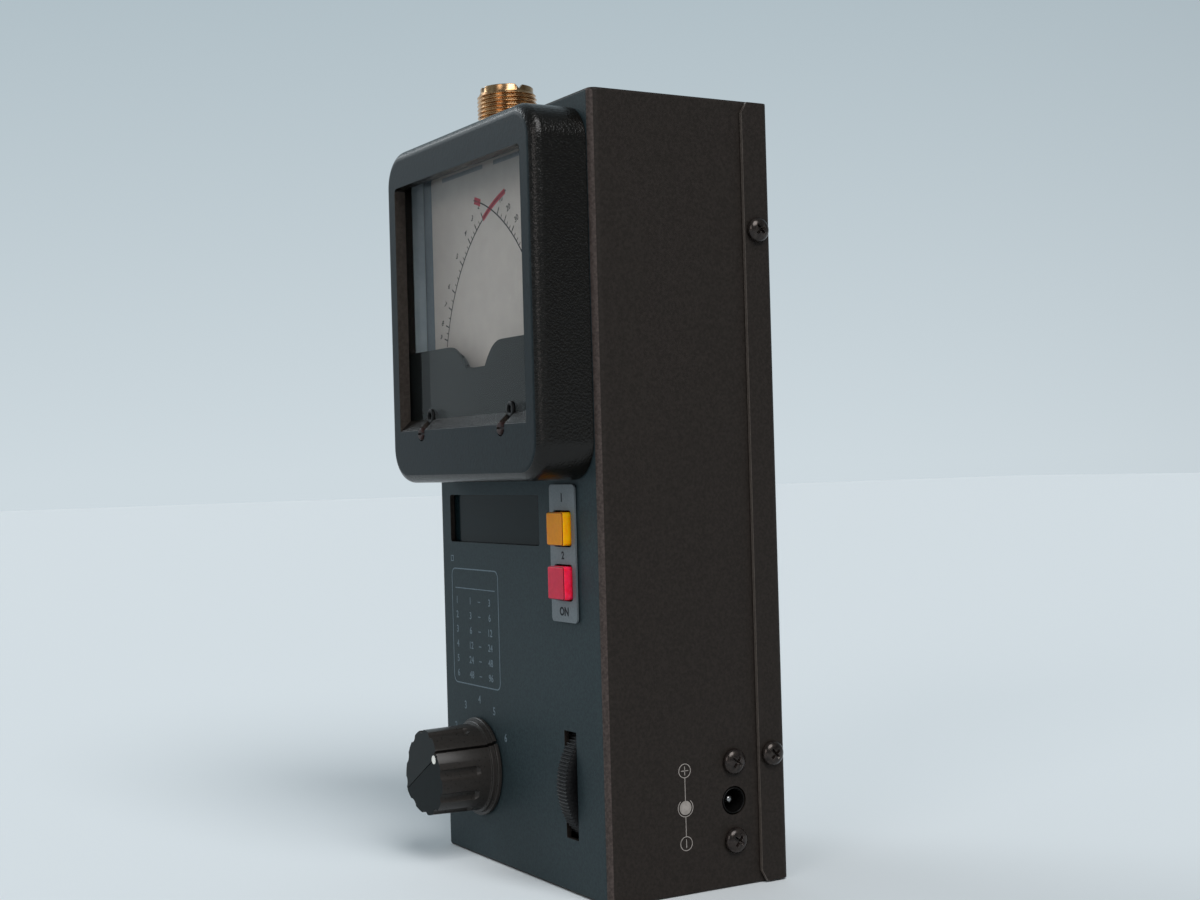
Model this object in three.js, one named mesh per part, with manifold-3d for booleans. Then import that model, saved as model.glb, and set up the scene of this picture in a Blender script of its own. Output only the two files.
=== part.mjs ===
// Hand-held antenna analyzer: a folded metal case with a crossed-needle meter, a frequency display,
// two push buttons, a band knob, a tuning thumbwheel, an antenna connector on top and a power jack.
// Millimetres, +Z up. The front faces -Y. The origin is the middle of the case's bottom face.

import * as THREE from 'three';
import { mergeVertices } from 'three/addons/utils/BufferGeometryUtils.js';
import Module from 'manifold-3d';

const wasm = await Module();
wasm.setup();

// Fits shared by all pieces
const seatGap = 0.25; // between pieces that rest on each other
const holeGap = 0.3; // around a screw or a pin in its hole
const runGap = 0.3; // around what turns or slides
const overrun = 1; // how far a cutting tool passes through
const weldDistance = 1e-4;

// Case
const caseWidth = 86;
const caseDepth = 49;
const caseHeight = 187;
const sheet = 1.2;
const frontBend = 2.3;
const endBend = 0.8;
const coverSheet = 1;
const coverBend = 1.6;
const coverGap = 0.2;
const coverInset = 0.4;
const flangeWidth = 7.7;
const flangeCutDepth = 1.5;
const flangeCutHeight = 2.5;
const halfWidth = caseWidth / 2;
const frontFace = -caseDepth / 2;
const rearFace = caseDepth / 2;
const panelBack = frontFace + sheet;
const shellBack = rearFace - coverSheet - seatGap;
const sideInner = halfWidth - sheet;

// Cover screws: cross-recess pan heads
const coverScrew = { shank: 1.5, head: 2.95, headHeight: 1.9, length: 5.5, recess: 1.7, recessDepth: 1.1 };
const coverScrewInset = 4.3; // from the rear face
const coverScrewBottom = 30.7; // from the case's bottom to the lower screws
const coverScrewTop = 31.1; // from the case's top to the upper screws
const coverScrewHeights = [coverScrewBottom, caseHeight - coverScrewTop];

// Antenna connector
const connectorSide = 16; // from the left side to the connector's axis
const connectorBack = 15.5; // from the front panel to the connector's axis
const connectorX = connectorSide - halfWidth;
const connectorY = frontFace + connectorBack;
const connector = {
  thread: 7.94,
  rim: 7.05,
  rimHeight: 1.6,
  bore: 5.9,
  flange: 25.4,
  flangeThickness: 1.9,
  flangeCorner: 2.2,
  height: 14.7,
  spigot: 6.9,
  spigotDepth: 3.2,
  notchWidth: 2.8,
  notchDepth: 1.3,
  screwPitch: 18.2,
};
const insulatorRecess = 4.7; // from the rim down to the insulator
const contact = { outer: 2.4, bore: 2, boreDepth: 8, slot: 0.5, slotDepth: 4, tail: 1.2, tailLength: 9 };
const flangeScrew = { shank: 1.5, head: 2.6, headHeight: 1.6, length: 5, recess: 1.5, recessDepth: 0.9 };

// Meter
const meterSide = 1.8; // from the case's side to the meter's
const meterTop = 3; // from the case's top to the meter's
const meterHeightShare = 0.4637;
const meterHeight = caseHeight * meterHeightShare;
const meterHigh = caseHeight - meterTop;
const meterLow = meterHigh - meterHeight;
const meterProud = 14.3;
const meterCorner = 9.3;
const meterFillet = 2.9;
const meterWall = 2.4;
const meterFrame = 3; // thickness of the bezel's front
// Heights above the meter's lower edge
const rise = { window: 13.4, dial: 14.7, mask: 34.1, notch: 28.2, pivot: 23.2, adjuster: 12.5, adjusterSlot: 17 };
const windowSide = 6.15; // from the meter's side to the opening
const windowTop = 9.7; // from the meter's top to the opening
const windowLow = meterLow + rise.window;
const windowHigh = meterHigh - windowTop;
const windowCorner = 1.2;
const lipHeight = 2.9; // the opening's sloping lower lip
const glassSheet = 2;
const glassOverlap = 2.4;
const meterFace = frontFace - meterProud;
const meterHalf = halfWidth - meterSide;
const windowHalf = meterHalf - windowSide;
const bezelInner = meterHalf - meterWall;
const frameBack = meterFace + meterFrame;
const glassFront = frameBack + seatGap;
const maskSheet = 0.6;
const maskFront = glassFront + glassSheet + seatGap;
const baseSheet = 2.2;
const baseFront = frontFace - seatGap - baseSheet;
const dialSheet = 0.8;
const dialFront = baseFront - seatGap - dialSheet;
const dialLow = meterLow + rise.dial;

// Meter mask: its upper edge has a notch in which the needles show
const maskShoulder = meterLow + rise.mask;
const maskNotchFloor = meterLow + rise.notch;
const maskNotchHalf = 5.4;
const maskShoulderHalf = 15;

// Meter movements
const pivotShare = 0.522; // of the meter's half width
const pivotX = meterHalf * pivotShare;
const pivotZ = meterLow + rise.pivot;
const yoke = { outer: 9.2, inner: 7.2, front: -0.5 };
const core = { radius: 4.6, front: 1.2, back: 7.4 };
const webWidth = 2.6;
const bridge = { front: -2.2, sheet: 0.9, width: 3.8, legInner: 7.5 };
const coil = { inner: 5, outer: 6.7, width: 3, sheet: 0.9 };
const staffRadius = 0.6;
const needleReachShare = 0.5746; // of the meter's height
const needleReach = meterHeight * needleReachShare;
const needleTail = 6.5;
const needleSheet = 0.4;
const needleRoot = 1.3;
const needleTip = 0.6;
const hubRadius = 1.6;
const needleSpacing = 1.4; // from one needle's plane to the other's
const needleRest = THREE.MathUtils.degToRad(10);
const needleSweep = THREE.MathUtils.degToRad(65);
const tub = { clearance: 1.1, depth: 11, sheet: 1.4 };
const tubFloor = frontFace + tub.depth - tub.sheet;
const tubMargin = yoke.outer + tub.clearance + tub.sheet; // from a pivot to the tub's outside
const tubHalf = pivotX + tubMargin;
const tubLow = pivotZ - tubMargin;
const tubHigh = pivotZ + tubMargin;
const stud = { radius: 1.5, side: 15.2, top: 16, reach: 5.5, nut: 3.1, nutHeight: 2.4 };
const studX = meterHalf - stud.side;
const studZ = meterHigh - stud.top;

// Zero adjusters
const adjuster = { head: 1.55, proud: 0.4, shaft: 0.9, slot: 0.6, slotDepth: 0.8 };
const adjusterOffset = 0.6; // from the pivot outwards
const adjusterX = pivotX + adjusterOffset;
const adjusterZ = meterLow + rise.adjuster;
const adjusterSlotTop = meterLow + rise.adjusterSlot;
const collar = { outer: 1.9, inner: 1.15, height: 0.5 };

// Buttons
const buttonSide = 16.9; // from the case's side to the buttons' axis
const buttonDrop = 11.4; // from the meter down to the upper button
const buttonX = halfWidth - buttonSide;
const buttonSize = 7.8;
const buttonPitch = 12.7;
const gateButtonZ = meterLow - buttonDrop;
const powerButtonZ = gateButtonZ - buttonPitch;
const buttonProud = 2.9;
const buttonCorner = 0.9;
const buttonGap = 0.4;
const buttonDepth = 6.4; // whole length of a cap without its stem
const stemRadius = 2;
const stemLength = 3.2;
const buttonTravel = 1.8;
const switchSize = 10;
// The plate's margins are measured from the caps
const plate = { side: 2.1, above: 6.5, below: 5.4, corner: 1, sheet: 0.5 };
const plateHalf = buttonSize / 2 + plate.side;
const plateHigh = gateButtonZ + buttonSize / 2 + plate.above;
const plateLow = powerButtonZ - buttonSize / 2 - plate.below;

// Display
const displaySide = 6.8; // from the case's side to the cut-out
const displayEnd = 6.8; // from the cut-out to the button plate
const displayDrop = 3.5; // from the meter down to the cut-out
const displayHeight = 12.4;
const displayHigh = meterLow - displayDrop;
const displayLow = displayHigh - displayHeight;
const displayLeft = displaySide - halfWidth;
const displayRight = buttonX - plateHalf - displayEnd;
const displayCorner = 0.8;
const filterOverlap = 1.6;
const filterSheet = 1.2;
const moduleOverlap = 3;
const moduleRecess = 0.8;
const moduleRim = 2.2;

// Main board and its spacers
const board = { side: 5, bottom: 46, top: 21, corner: 1.5, sheet: 1.6 };
const boardHalf = halfWidth - board.side;
const boardHigh = caseHeight - board.top;
const boardStandoff = 10.8; // from the panel's back to the board
const boardFront = panelBack + boardStandoff;
const spacer = { radius: 2.8, bore: 1.3, inset: 4 };

// Band switch and knob
const knobSide = 21.4; // from the case's side to the knob's axis
const knobX = knobSide - halfWidth;
const knobZ = 23.7;
const bandSwitch = { body: 12.5, depth: 12, bushing: 4.4, bushingReach: 5, nut: 6.4, nutHeight: 2 };
const knobShaft = { radius: 3, reach: 14.2, tail: 7 };
const knob = {
  skirt: 12.5,
  skirtStep: 11.7,
  skirtHeight: 1,
  stepHeight: 1.1,
  root: 11.1,
  tip: 10.7,
  face: 16.95,
  lift: 0.35,
  cavity: 8.2,
  cavityDepth: 6,
};
const knobSegments = 60;
const flutePlaces = 10; // round the knob, the pointer stands in one of them
const flute = { radius: 3.9, depth: 0.4, length: 11.6 };
const facetSlope = THREE.MathUtils.degToRad(7);
const pointerTurn = THREE.MathUtils.degToRad(60); // clockwise from straight up, seen from the front
const pointerWidth = 0.9;
const pointerDepth = 0.9;

// Tuning wheel and capacitor
const wheel = { thickness: 5.1, radius: 17, proud: 2.9, z: 25.5, edge: 0.5, hub: 5, web: 2.6 };
const wheelSide = 17; // from the case's side to the wheel's middle
const wheelX = halfWidth - wheelSide;
const knurlCount = 48;
const knurlDepth = 0.4;
const wheelY = frontFace + wheel.radius - wheel.proud;
const wheelSlot = { gap: 0.3, endGap: 1.6 };
// The slot is as long as the wheel's chord at the back of the panel
const wheelSlotHalf = Math.sqrt(wheel.radius ** 2 - (wheelY - panelBack) ** 2) + wheelSlot.endGap;
const tuningShaft = { radius: 3, tail: 6 };
const capacitor = { size: 20, thickness: 12, corner: 1.5 };
const bracket = { sheet: 1.2, halfHeight: 11.5, foot: 10, back: 25 };

// Battery pack
const cell = { radius: 7.1, length: 50.5, nub: 2.7, nubHeight: 1.2, edge: 0.6 };
const cellPitch = 15;
const cellColumns = 3;
const cellRows = 2;
const cellEndGap = 0.3;
const holder = { wall: 1.2, top: 24.2 };

// Power jack
const jackBack = 34.4; // from the front panel to the jack's axis
const jackY = frontFace + jackBack;
const jackZ = 20.4;
const jack = { collar: 3.1, bore: 2.75, boreDepth: 9, block: 10.6, length: 12, ears: 24, earWidth: 11, earSheet: 1.8 };
const jackPin = { radius: 0.95, recess: 1.75, tail: 1.5 };
const jackScrew = { shank: 1.5, head: 3.05, headHeight: 1.8, length: 4.5, recess: 1.7, recessDepth: 1 };
const jackScrewSpread = 9.3;

// Directions
const quarterTurn = Math.PI / 2;
const axisX = new THREE.Vector3(1, 0, 0);
const axisY = new THREE.Vector3(0, 1, 0);
const axisZ = new THREE.Vector3(0, 0, 1);
// An outline drawn in (Y, Z) and extruded along +X, in (X, Z) and extruded along -Y
const outlineAlongX = new THREE.Matrix4().makeBasis(axisY, axisZ, axisX);
const outlineAlongY = new THREE.Matrix4().makeBasis(axisX, axisZ, axisY.clone().negate());
// A turned profile whose own axis is Y, laid along +X
const turnedAlongX = new THREE.Matrix4().makeBasis(axisY, axisX, axisZ.clone().negate());

// Closed surfaces and solids

function closedSurface(geometry) {
  const bare = geometry.clone();
  bare.deleteAttribute('normal');
  bare.deleteAttribute('uv');
  const merged = mergeVertices(bare, weldDistance);
  const corners = [];
  const source = merged.index.array;
  for (let i = 0; i < source.length; i += 3) {
    const [a, b, c] = [source[i], source[i + 1], source[i + 2]];
    if (a !== b && b !== c && c !== a) corners.push(a, b, c);
  }
  const points = merged.attributes.position;
  if (enclosedVolume(points, corners) < 0) corners.reverse();
  return { points: new Float32Array(points.array), corners: new Uint32Array(corners) };
}

function enclosedVolume(points, corners) {
  const [a, b, c] = [new THREE.Vector3(), new THREE.Vector3(), new THREE.Vector3()];
  let volume = 0;
  for (let i = 0; i < corners.length; i += 3) {
    a.fromBufferAttribute(points, corners[i]);
    b.fromBufferAttribute(points, corners[i + 1]);
    c.fromBufferAttribute(points, corners[i + 2]);
    volume += a.dot(b.cross(c)) / 6;
  }
  return volume;
}

function solidOf(geometry) {
  const { points, corners } = closedSurface(geometry);
  return new wasm.Manifold(new wasm.Mesh({ numProp: 3, vertProperties: points, triVerts: corners }));
}

function block(left, right, front, back, low, high) {
  const geometry = new THREE.BoxGeometry(right - left, back - front, high - low);
  geometry.translate((left + right) / 2, (front + back) / 2, (low + high) / 2);
  return solidOf(geometry);
}

// An outline in X and Z, filled from the plane y = front to the plane y = back
function slab(outline, front, back, curveSegments = 4) {
  const geometry = new THREE.ExtrudeGeometry(outline, { depth: back - front, bevelEnabled: false, curveSegments });
  geometry.applyMatrix4(outlineAlongY);
  geometry.translate(0, back, 0);
  return solidOf(geometry);
}

// An outline in X and Y, filled from z = low to z = high
function column(outline, low, high, curveSegments = 4) {
  const geometry = new THREE.ExtrudeGeometry(outline, { depth: high - low, bevelEnabled: false, curveSegments });
  geometry.translate(0, 0, low);
  return solidOf(geometry);
}

// An outline in Y and Z, filled from x = left to x = right
function crossBar(outline, left, right, curveSegments = 4) {
  const geometry = new THREE.ExtrudeGeometry(outline, { depth: right - left, bevelEnabled: false, curveSegments });
  geometry.applyMatrix4(outlineAlongX);
  geometry.translate(left, 0, 0);
  return solidOf(geometry);
}

// Profiles are lists of [radius, place along the axis]
function lathe(profile, segments) {
  return new THREE.LatheGeometry(profile.map(([radius, along]) => new THREE.Vector2(radius, along)), segments);
}

function turnedY(profile, x, z, segments = 24) {
  const geometry = lathe(profile, segments);
  geometry.translate(x, 0, z);
  return solidOf(geometry);
}

function turnedZ(profile, x, y, segments = 24) {
  const geometry = lathe(profile, segments);
  geometry.applyMatrix4(outlineAlongY);
  geometry.translate(x, y, 0);
  return solidOf(geometry);
}

function turnedX(profile, y, z, segments = 20) {
  const geometry = lathe(profile, segments);
  geometry.applyMatrix4(turnedAlongX);
  geometry.translate(0, y, z);
  return solidOf(geometry);
}

function rod(radius, from, to) {
  return [[0, from], [radius, from], [radius, to], [0, to]];
}

function ring(inner, outer, from, to) {
  return [[inner, from], [outer, from], [outer, to], [inner, to], [inner, from]];
}

function hexNut(bore, outer, front, back, x, z) {
  const hole = rod(bore + holeGap, front - overrun, back + overrun);
  return turnedY(rod(outer, front, back), x, z, 6).subtract(turnedY(hole, x, z, 16));
}

function roundedRectangle(left, low, right, high, radius, shape = new THREE.Shape()) {
  shape.moveTo(left + radius, low);
  shape.absarc(right - radius, low + radius, radius, -quarterTurn, 0);
  shape.absarc(right - radius, high - radius, radius, 0, quarterTurn);
  shape.absarc(left + radius, high - radius, radius, quarterTurn, Math.PI);
  shape.absarc(left + radius, low + radius, radius, Math.PI, Math.PI + quarterTurn);
  shape.closePath();
  return shape;
}

function polygon(points) {
  return new THREE.Shape(points.map(([a, b]) => new THREE.Vector2(a, b)));
}

// A closed body through rings of equally many points, with both ends filled from their middles
function loft(rings) {
  const count = rings[0].length;
  const points = rings.flat();
  const corners = [];
  for (let r = 0; r + 1 < rings.length; r += 1) {
    for (let i = 0; i < count; i += 1) {
      const next = (i + 1) % count;
      const [a, b, c, d] = [r * count + i, r * count + next, (r + 1) * count + next, (r + 1) * count + i];
      corners.push(a, b, c, a, c, d);
    }
  }
  for (const end of [0, rings.length - 1]) {
    const middle = points.length;
    points.push(rings[end].reduce((sum, p) => sum.add(p), new THREE.Vector3()).divideScalar(count));
    for (let i = 0; i < count; i += 1) {
      const pair = [end * count + i, end * count + ((i + 1) % count)];
      if (end === 0) pair.reverse();
      corners.push(pair[0], pair[1], middle);
    }
  }
  const geometry = new THREE.BufferGeometry().setFromPoints(points);
  geometry.setIndex(corners);
  return solidOf(geometry);
}

// Pieces and finishes

const analyzer = new THREE.Group();

function finish(color, roughness, metalness) {
  return () => new THREE.MeshStandardMaterial({ color, roughness, metalness });
}

const slateFront = finish(0x30363a, 0.55, 0.2);
const brownSide = finish(0x2c2624, 0.6, 0.2);
const blackMoulding = finish(0x191917, 0.55, 0);
const clearPlastic = finish(0xcfd6d8, 0.1, 0);
const dialWhite = finish(0xb4b6b6, 0.6, 0);
const gold = finish(0xb8863a, 0.3, 1);
const steel = finish(0xa9abad, 0.35, 1);
const blackSteel = finish(0x161618, 0.4, 0.6);
const brass = finish(0xa98a4c, 0.35, 1);
const whiteNylon = finish(0xd9d6cc, 0.5, 0);
const copper = finish(0xa9623a, 0.4, 1);
const silverPlate = finish(0x9aa2a8, 0.4, 0.7);
const orangeCap = finish(0xd98a14, 0.35, 0);
const redCap = finish(0xc82848, 0.35, 0);
const greenBoard = finish(0x22553a, 0.6, 0);
const smokedPlastic = finish(0x11161a, 0.15, 0);
const cellJacket = finish(0x8a5a2a, 0.45, 0.3);
const brownAdjuster = finish(0x4a3230, 0.5, 0);

function add(name, solid, material) {
  const made = solid.getMesh();
  const geometry = new THREE.BufferGeometry();
  geometry.setAttribute('position', new THREE.BufferAttribute(new Float32Array(made.vertProperties), 3));
  geometry.setIndex(new THREE.BufferAttribute(new Uint32Array(made.triVerts), 1));
  geometry.computeVertexNormals();
  const mesh = new THREE.Mesh(geometry, material());
  mesh.name = name;
  analyzer.add(mesh);
}

// Screws: a domed head with a cross recess, its seat at 0 on the axis and its shank at negative places

function screwProfile(screw) {
  const dome = screw.headHeight;
  const shoulder = dome * screwShoulderShare;
  const crown = screw.head * screwCrownShare;
  return [
    [0, -screw.length],
    [screw.shank, -screw.length],
    [screw.shank, 0],
    [screw.head, 0],
    [screw.head, shoulder],
    [crown, dome],
    [0, dome],
  ];
}

const screwShoulderShare = 0.45;
const screwCrownShare = 0.72;
const recessWidthShare = 0.36;
const screwSegments = 12;

function screwSolid(screw) {
  const body = solidOf(lathe(screwProfile(screw), screwSegments));
  const half = screw.recess * recessWidthShare;
  const floor = screw.headHeight - screw.recessDepth;
  const top = screw.headHeight + overrun;
  const across = block(-screw.recess, screw.recess, floor, top, -half, half);
  const along = block(-half, half, floor, top, -screw.recess, screw.recess);
  return body.subtract(across.add(along));
}

// The screw's own axis is +Y; these turn its head to face another way
const headUp = [90, 0, 0];
const headRight = [0, 0, -90];
const headLeft = [0, 0, 90];

function addScrew(name, screw, headTurn, place, material) {
  add(name, screwSolid(screw).rotate(headTurn).translate(place), material);
}

// Case

function frontShell() {
  const bevelled = new THREE.ExtrudeGeometry(
    roundedRectangle(-halfWidth, frontFace, halfWidth, rearFace + 2 * frontBend, frontBend),
    {
      depth: caseHeight - 2 * endBend,
      bevelThickness: endBend,
      bevelSize: endBend,
      bevelOffset: -endBend,
      bevelSegments: 2,
      curveSegments: 4,
    },
  );
  bevelled.translate(0, 0, endBend);
  const innerRadius = frontBend - sheet;
  const hollow = roundedRectangle(-sideInner, panelBack, sideInner, rearFace + 2 * frontBend, innerRadius);
  const shell = solidOf(bevelled)
    .subtract(column(hollow, sheet, caseHeight - sheet))
    .subtract(block(-caseWidth, caseWidth, shellBack, caseDepth, -overrun, caseHeight + overrun));
  const cuts = [...panelCuts(), ...topCuts(), ...sideCuts()];
  return cuts.reduce((body, cut) => body.subtract(cut), shell);
}

function panelCuts() {
  const [front, back] = [frontFace - overrun, panelBack + overrun];
  const through = (shape) => slab(shape, front, back, 2);
  const window = roundedRectangle(displayLeft, displayLow, displayRight, displayHigh, displayCorner);
  const tubHole = tubHalf + seatGap;
  const slotHalf = wheel.thickness / 2 + wheelSlot.gap;
  const [slotLow, slotHigh] = [wheel.z - wheelSlotHalf, wheel.z + wheelSlotHalf];
  const cuts = [
    through(window),
    block(-tubHole, tubHole, front, back, tubLow - seatGap, tubHigh + seatGap),
    block(wheelX - slotHalf, wheelX + slotHalf, front, back, slotLow, slotHigh),
    turnedY(rod(bandSwitch.bushing + holeGap, front, back), knobX, knobZ),
    through(buttonHole(gateButtonZ)),
    through(buttonHole(powerButtonZ)),
  ];
  for (const side of [-1, 1]) cuts.push(turnedY(rod(stud.radius + holeGap, front, back), side * studX, studZ, 12));
  return cuts;
}

function buttonHole(z) {
  const half = buttonSize / 2 + buttonGap;
  return roundedRectangle(buttonX - half, z - half, buttonX + half, z + half, buttonCorner);
}

function topCuts() {
  const [low, high] = [caseHeight - sheet - overrun, caseHeight + overrun];
  const cuts = [turnedZ(rod(connector.spigot + holeGap, low, high), connectorX, connectorY)];
  for (const [x, y] of flangeScrewPlaces()) cuts.push(turnedZ(rod(flangeScrew.shank + holeGap, low, high), x, y, 12));
  return cuts;
}

function sideCuts() {
  const [inside, outside] = [sideInner - overrun, halfWidth + overrun];
  const cuts = [turnedX(rod(jack.collar + holeGap, inside, outside), jackY, jackZ)];
  for (const step of [-1, 1]) {
    const z = jackZ + step * jackScrewSpread;
    cuts.push(turnedX(rod(jackScrew.shank + holeGap, inside, outside), jackY, z, 12));
  }
  for (const z of coverScrewHeights) {
    const hole = coverScrew.shank + holeGap;
    cuts.push(turnedX(rod(hole, inside, outside), rearFace - coverScrewInset, z, 12));
    cuts.push(turnedX(rod(hole, -outside, -inside), rearFace - coverScrewInset, z, 12));
  }
  return cuts;
}

const flangeInner = halfWidth + coverGap;
const flangeOuter = flangeInner + coverSheet;

function rearCover() {
  const outer = new THREE.Shape();
  const flangeFront = rearFace - flangeWidth;
  outer.moveTo(flangeInner, flangeFront);
  outer.lineTo(flangeOuter, flangeFront);
  outer.absarc(flangeOuter - coverBend, rearFace - coverBend, coverBend, 0, quarterTurn);
  outer.absarc(coverBend - flangeOuter, rearFace - coverBend, coverBend, quarterTurn, Math.PI);
  outer.lineTo(-flangeOuter, flangeFront);
  outer.lineTo(-flangeInner, flangeFront);
  outer.lineTo(-flangeInner, rearFace - coverSheet);
  outer.lineTo(flangeInner, rearFace - coverSheet);
  outer.closePath();
  const [low, high] = [coverInset, caseHeight - coverInset];
  let cover = column(outer, low, high);
  for (const [edge, inward] of [[low, 1], [high, -1]]) {
    const wedge = polygon([
      [flangeFront - overrun, edge - inward * overrun],
      [flangeFront + flangeCutDepth, edge - inward * overrun],
      [flangeFront + flangeCutDepth, edge],
      [flangeFront, edge + inward * flangeCutHeight],
      [flangeFront - overrun, edge + inward * flangeCutHeight],
    ]);
    cover = cover.subtract(crossBar(wedge, -flangeOuter - overrun, flangeOuter + overrun));
  }
  for (const z of coverScrewHeights) {
    const across = rod(coverScrew.shank + holeGap, -flangeOuter - overrun, flangeOuter + overrun);
    cover = cover.subtract(turnedX(across, rearFace - coverScrewInset, z, 12));
  }
  return cover;
}

add('front_shell', frontShell(), slateFront);
add('rear_cover', rearCover(), brownSide);

const screwLevels = ['lower', 'upper'];
coverScrewHeights.forEach((z, i) => {
  const place = [flangeOuter + seatGap, rearFace - coverScrewInset, z];
  addScrew(`cover_screw_right_${screwLevels[i]}`, coverScrew, headRight, place, blackSteel);
  addScrew(`cover_screw_left_${screwLevels[i]}`, coverScrew, headLeft, [-place[0], place[1], z], blackSteel);
});

// Antenna connector

function flangeScrewPlaces() {
  const half = connector.screwPitch / 2;
  const corners = [[-1, -1], [1, -1], [1, 1], [-1, 1]];
  return corners.map(([i, j]) => [connectorX + i * half, connectorY + j * half]);
}

const flangeLow = caseHeight + seatGap;
const flangeHigh = flangeLow + connector.flangeThickness;
const connectorTop = caseHeight + connector.height;
const insulatorTop = connectorTop - insulatorRecess;

function connectorShell() {
  const half = connector.flange / 2;
  const outline = roundedRectangle(
    connectorX - half,
    connectorY - half,
    connectorX + half,
    connectorY + half,
    connector.flangeCorner,
  );
  const barrel = [
    [0, caseHeight - connector.spigotDepth],
    [connector.spigot, caseHeight - connector.spigotDepth],
    [connector.spigot, flangeLow],
    [connector.thread, flangeLow],
    [connector.thread, connectorTop - connector.rimHeight],
    [connector.rim, connectorTop - connector.rimHeight],
    [connector.rim, connectorTop],
    [0, connectorTop],
  ];
  let shell = column(outline, flangeLow, flangeHigh).add(turnedZ(barrel, connectorX, connectorY, 28));
  const bore = rod(connector.bore, caseHeight - connector.spigotDepth - overrun, connectorTop + overrun);
  shell = shell.subtract(turnedZ(bore, connectorX, connectorY, 28));
  for (const [x, y] of flangeScrewPlaces()) {
    const hole = rod(flangeScrew.shank + holeGap, flangeLow - overrun, flangeHigh + overrun);
    shell = shell.subtract(turnedZ(hole, x, y, 12));
  }
  return notched(shell);
}

// Four V notches in the rim, a quarter turn apart
function notched(shell) {
  const half = connector.notchWidth / 2;
  const vee = polygon([
    [-half, connectorTop + connector.notchDepth * veeOverrunShare],
    [0, connectorTop - connector.notchDepth],
    [half, connectorTop + connector.notchDepth * veeOverrunShare],
  ]);
  const reach = connector.thread + overrun;
  const alongY = slab(vee, -reach, reach);
  const cross = alongY.add(alongY.rotate([0, 0, 90]));
  return shell.subtract(cross.translate([connectorX, connectorY, 0]));
}

const veeOverrunShare = 0.25;

function connectorInsulator() {
  const low = caseHeight - connector.spigotDepth;
  const profile = ring(contact.outer + seatGap, connector.bore - seatGap, low, insulatorTop);
  return turnedZ(profile, connectorX, connectorY);
}

function connectorContact() {
  const low = caseHeight - connector.spigotDepth;
  const profile = [
    [0, low - contact.tailLength],
    [contact.tail, low - contact.tailLength],
    [contact.tail, low],
    [contact.outer, low],
    [contact.outer, insulatorTop],
    [contact.bore, insulatorTop],
    [contact.bore, insulatorTop - contact.boreDepth],
    [0, insulatorTop - contact.boreDepth],
  ];
  const half = contact.slot / 2;
  const reach = contact.outer + overrun;
  const slots = block(-half, half, -reach, reach, insulatorTop - contact.slotDepth, insulatorTop + overrun)
    .add(block(-reach, reach, -half, half, insulatorTop - contact.slotDepth, insulatorTop + overrun));
  return turnedZ(profile, connectorX, connectorY, 20).subtract(slots.translate([connectorX, connectorY, 0]));
}

add('connector_shell', connectorShell(), gold);
add('connector_insulator', connectorInsulator(), whiteNylon);
add('connector_contact', connectorContact(), gold);
flangeScrewPlaces().forEach(([x, y], i) => {
  addScrew(`connector_screw_${i + 1}`, flangeScrew, headUp, [x, y, flangeHigh + seatGap], steel);
});

// Meter housing

function meterBezel() {
  const outline = roundedRectangle(-meterHalf, meterLow, meterHalf, meterHigh, meterCorner);
  const rounded = new THREE.ExtrudeGeometry(outline, {
    depth: meterProud,
    bevelThickness: meterFillet,
    bevelSize: meterFillet,
    bevelOffset: -meterFillet,
    bevelSegments: 4,
    curveSegments: 5,
  });
  rounded.applyMatrix4(outlineAlongY);
  rounded.translate(0, meterFace + meterFillet + meterProud, 0);
  const bezelBack = frontFace - seatGap;
  const outerReach = meterHigh + overrun;
  let bezel = solidOf(rounded)
    .subtract(block(-caseWidth, caseWidth, bezelBack, rearFace, 0, outerReach));
  const inner = roundedRectangle(
    -bezelInner,
    meterLow + meterWall,
    bezelInner,
    meterHigh - meterWall,
    meterCorner - meterWall,
  );
  bezel = bezel.subtract(slab(inner, frameBack, bezelBack + overrun));
  bezel = bezel.subtract(windowOpening());
  for (const side of [-1, 1]) bezel = bezel.subtract(adjusterSlot(side * adjusterX));
  return bezel;
}

// The opening's lower lip slopes up and back, its other sides run straight back
function windowOpening() {
  const half = windowHalf;
  const lipTop = windowLow + lipHeight;
  const [front, back] = [meterFace - overrun, frameBack + overrun];
  const straight = slab(roundedRectangle(-half, lipTop, half, windowHigh, windowCorner), front, back, 3);
  const slope = lipHeight / meterFrame;
  const lip = polygon([
    [front, windowLow - slope * overrun],
    [frameBack, lipTop],
    [frameBack, lipTop + windowCorner],
    [front, lipTop + windowCorner],
  ]);
  return straight.add(crossBar(lip, -half, half));
}

function adjusterSlot(x) {
  const radius = adjuster.head + runGap;
  const slot = roundedRectangle(
    x - radius,
    adjusterZ - radius,
    x + radius,
    adjusterSlotTop + radius,
    radius * slotRoundShare,
  );
  return slab(slot, meterFace - overrun, frameBack + overrun, 4);
}

const slotRoundShare = 0.98;

function meterWindow() {
  const half = windowHalf + glassOverlap;
  const low = windowLow + lipHeight - glassOverlap;
  const outline = roundedRectangle(-half, low, half, windowHigh + glassOverlap, windowCorner);
  let glass = slab(outline, glassFront, glassFront + glassSheet, 3);
  for (const side of [-1, 1]) {
    const profile = ring(collar.inner, collar.outer, glassFront - collar.height, glassFront + glassSheet / 2);
    glass = glass.add(turnedY(profile, side * adjusterX, adjusterSlotTop, 16));
  }
  return glass;
}

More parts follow.
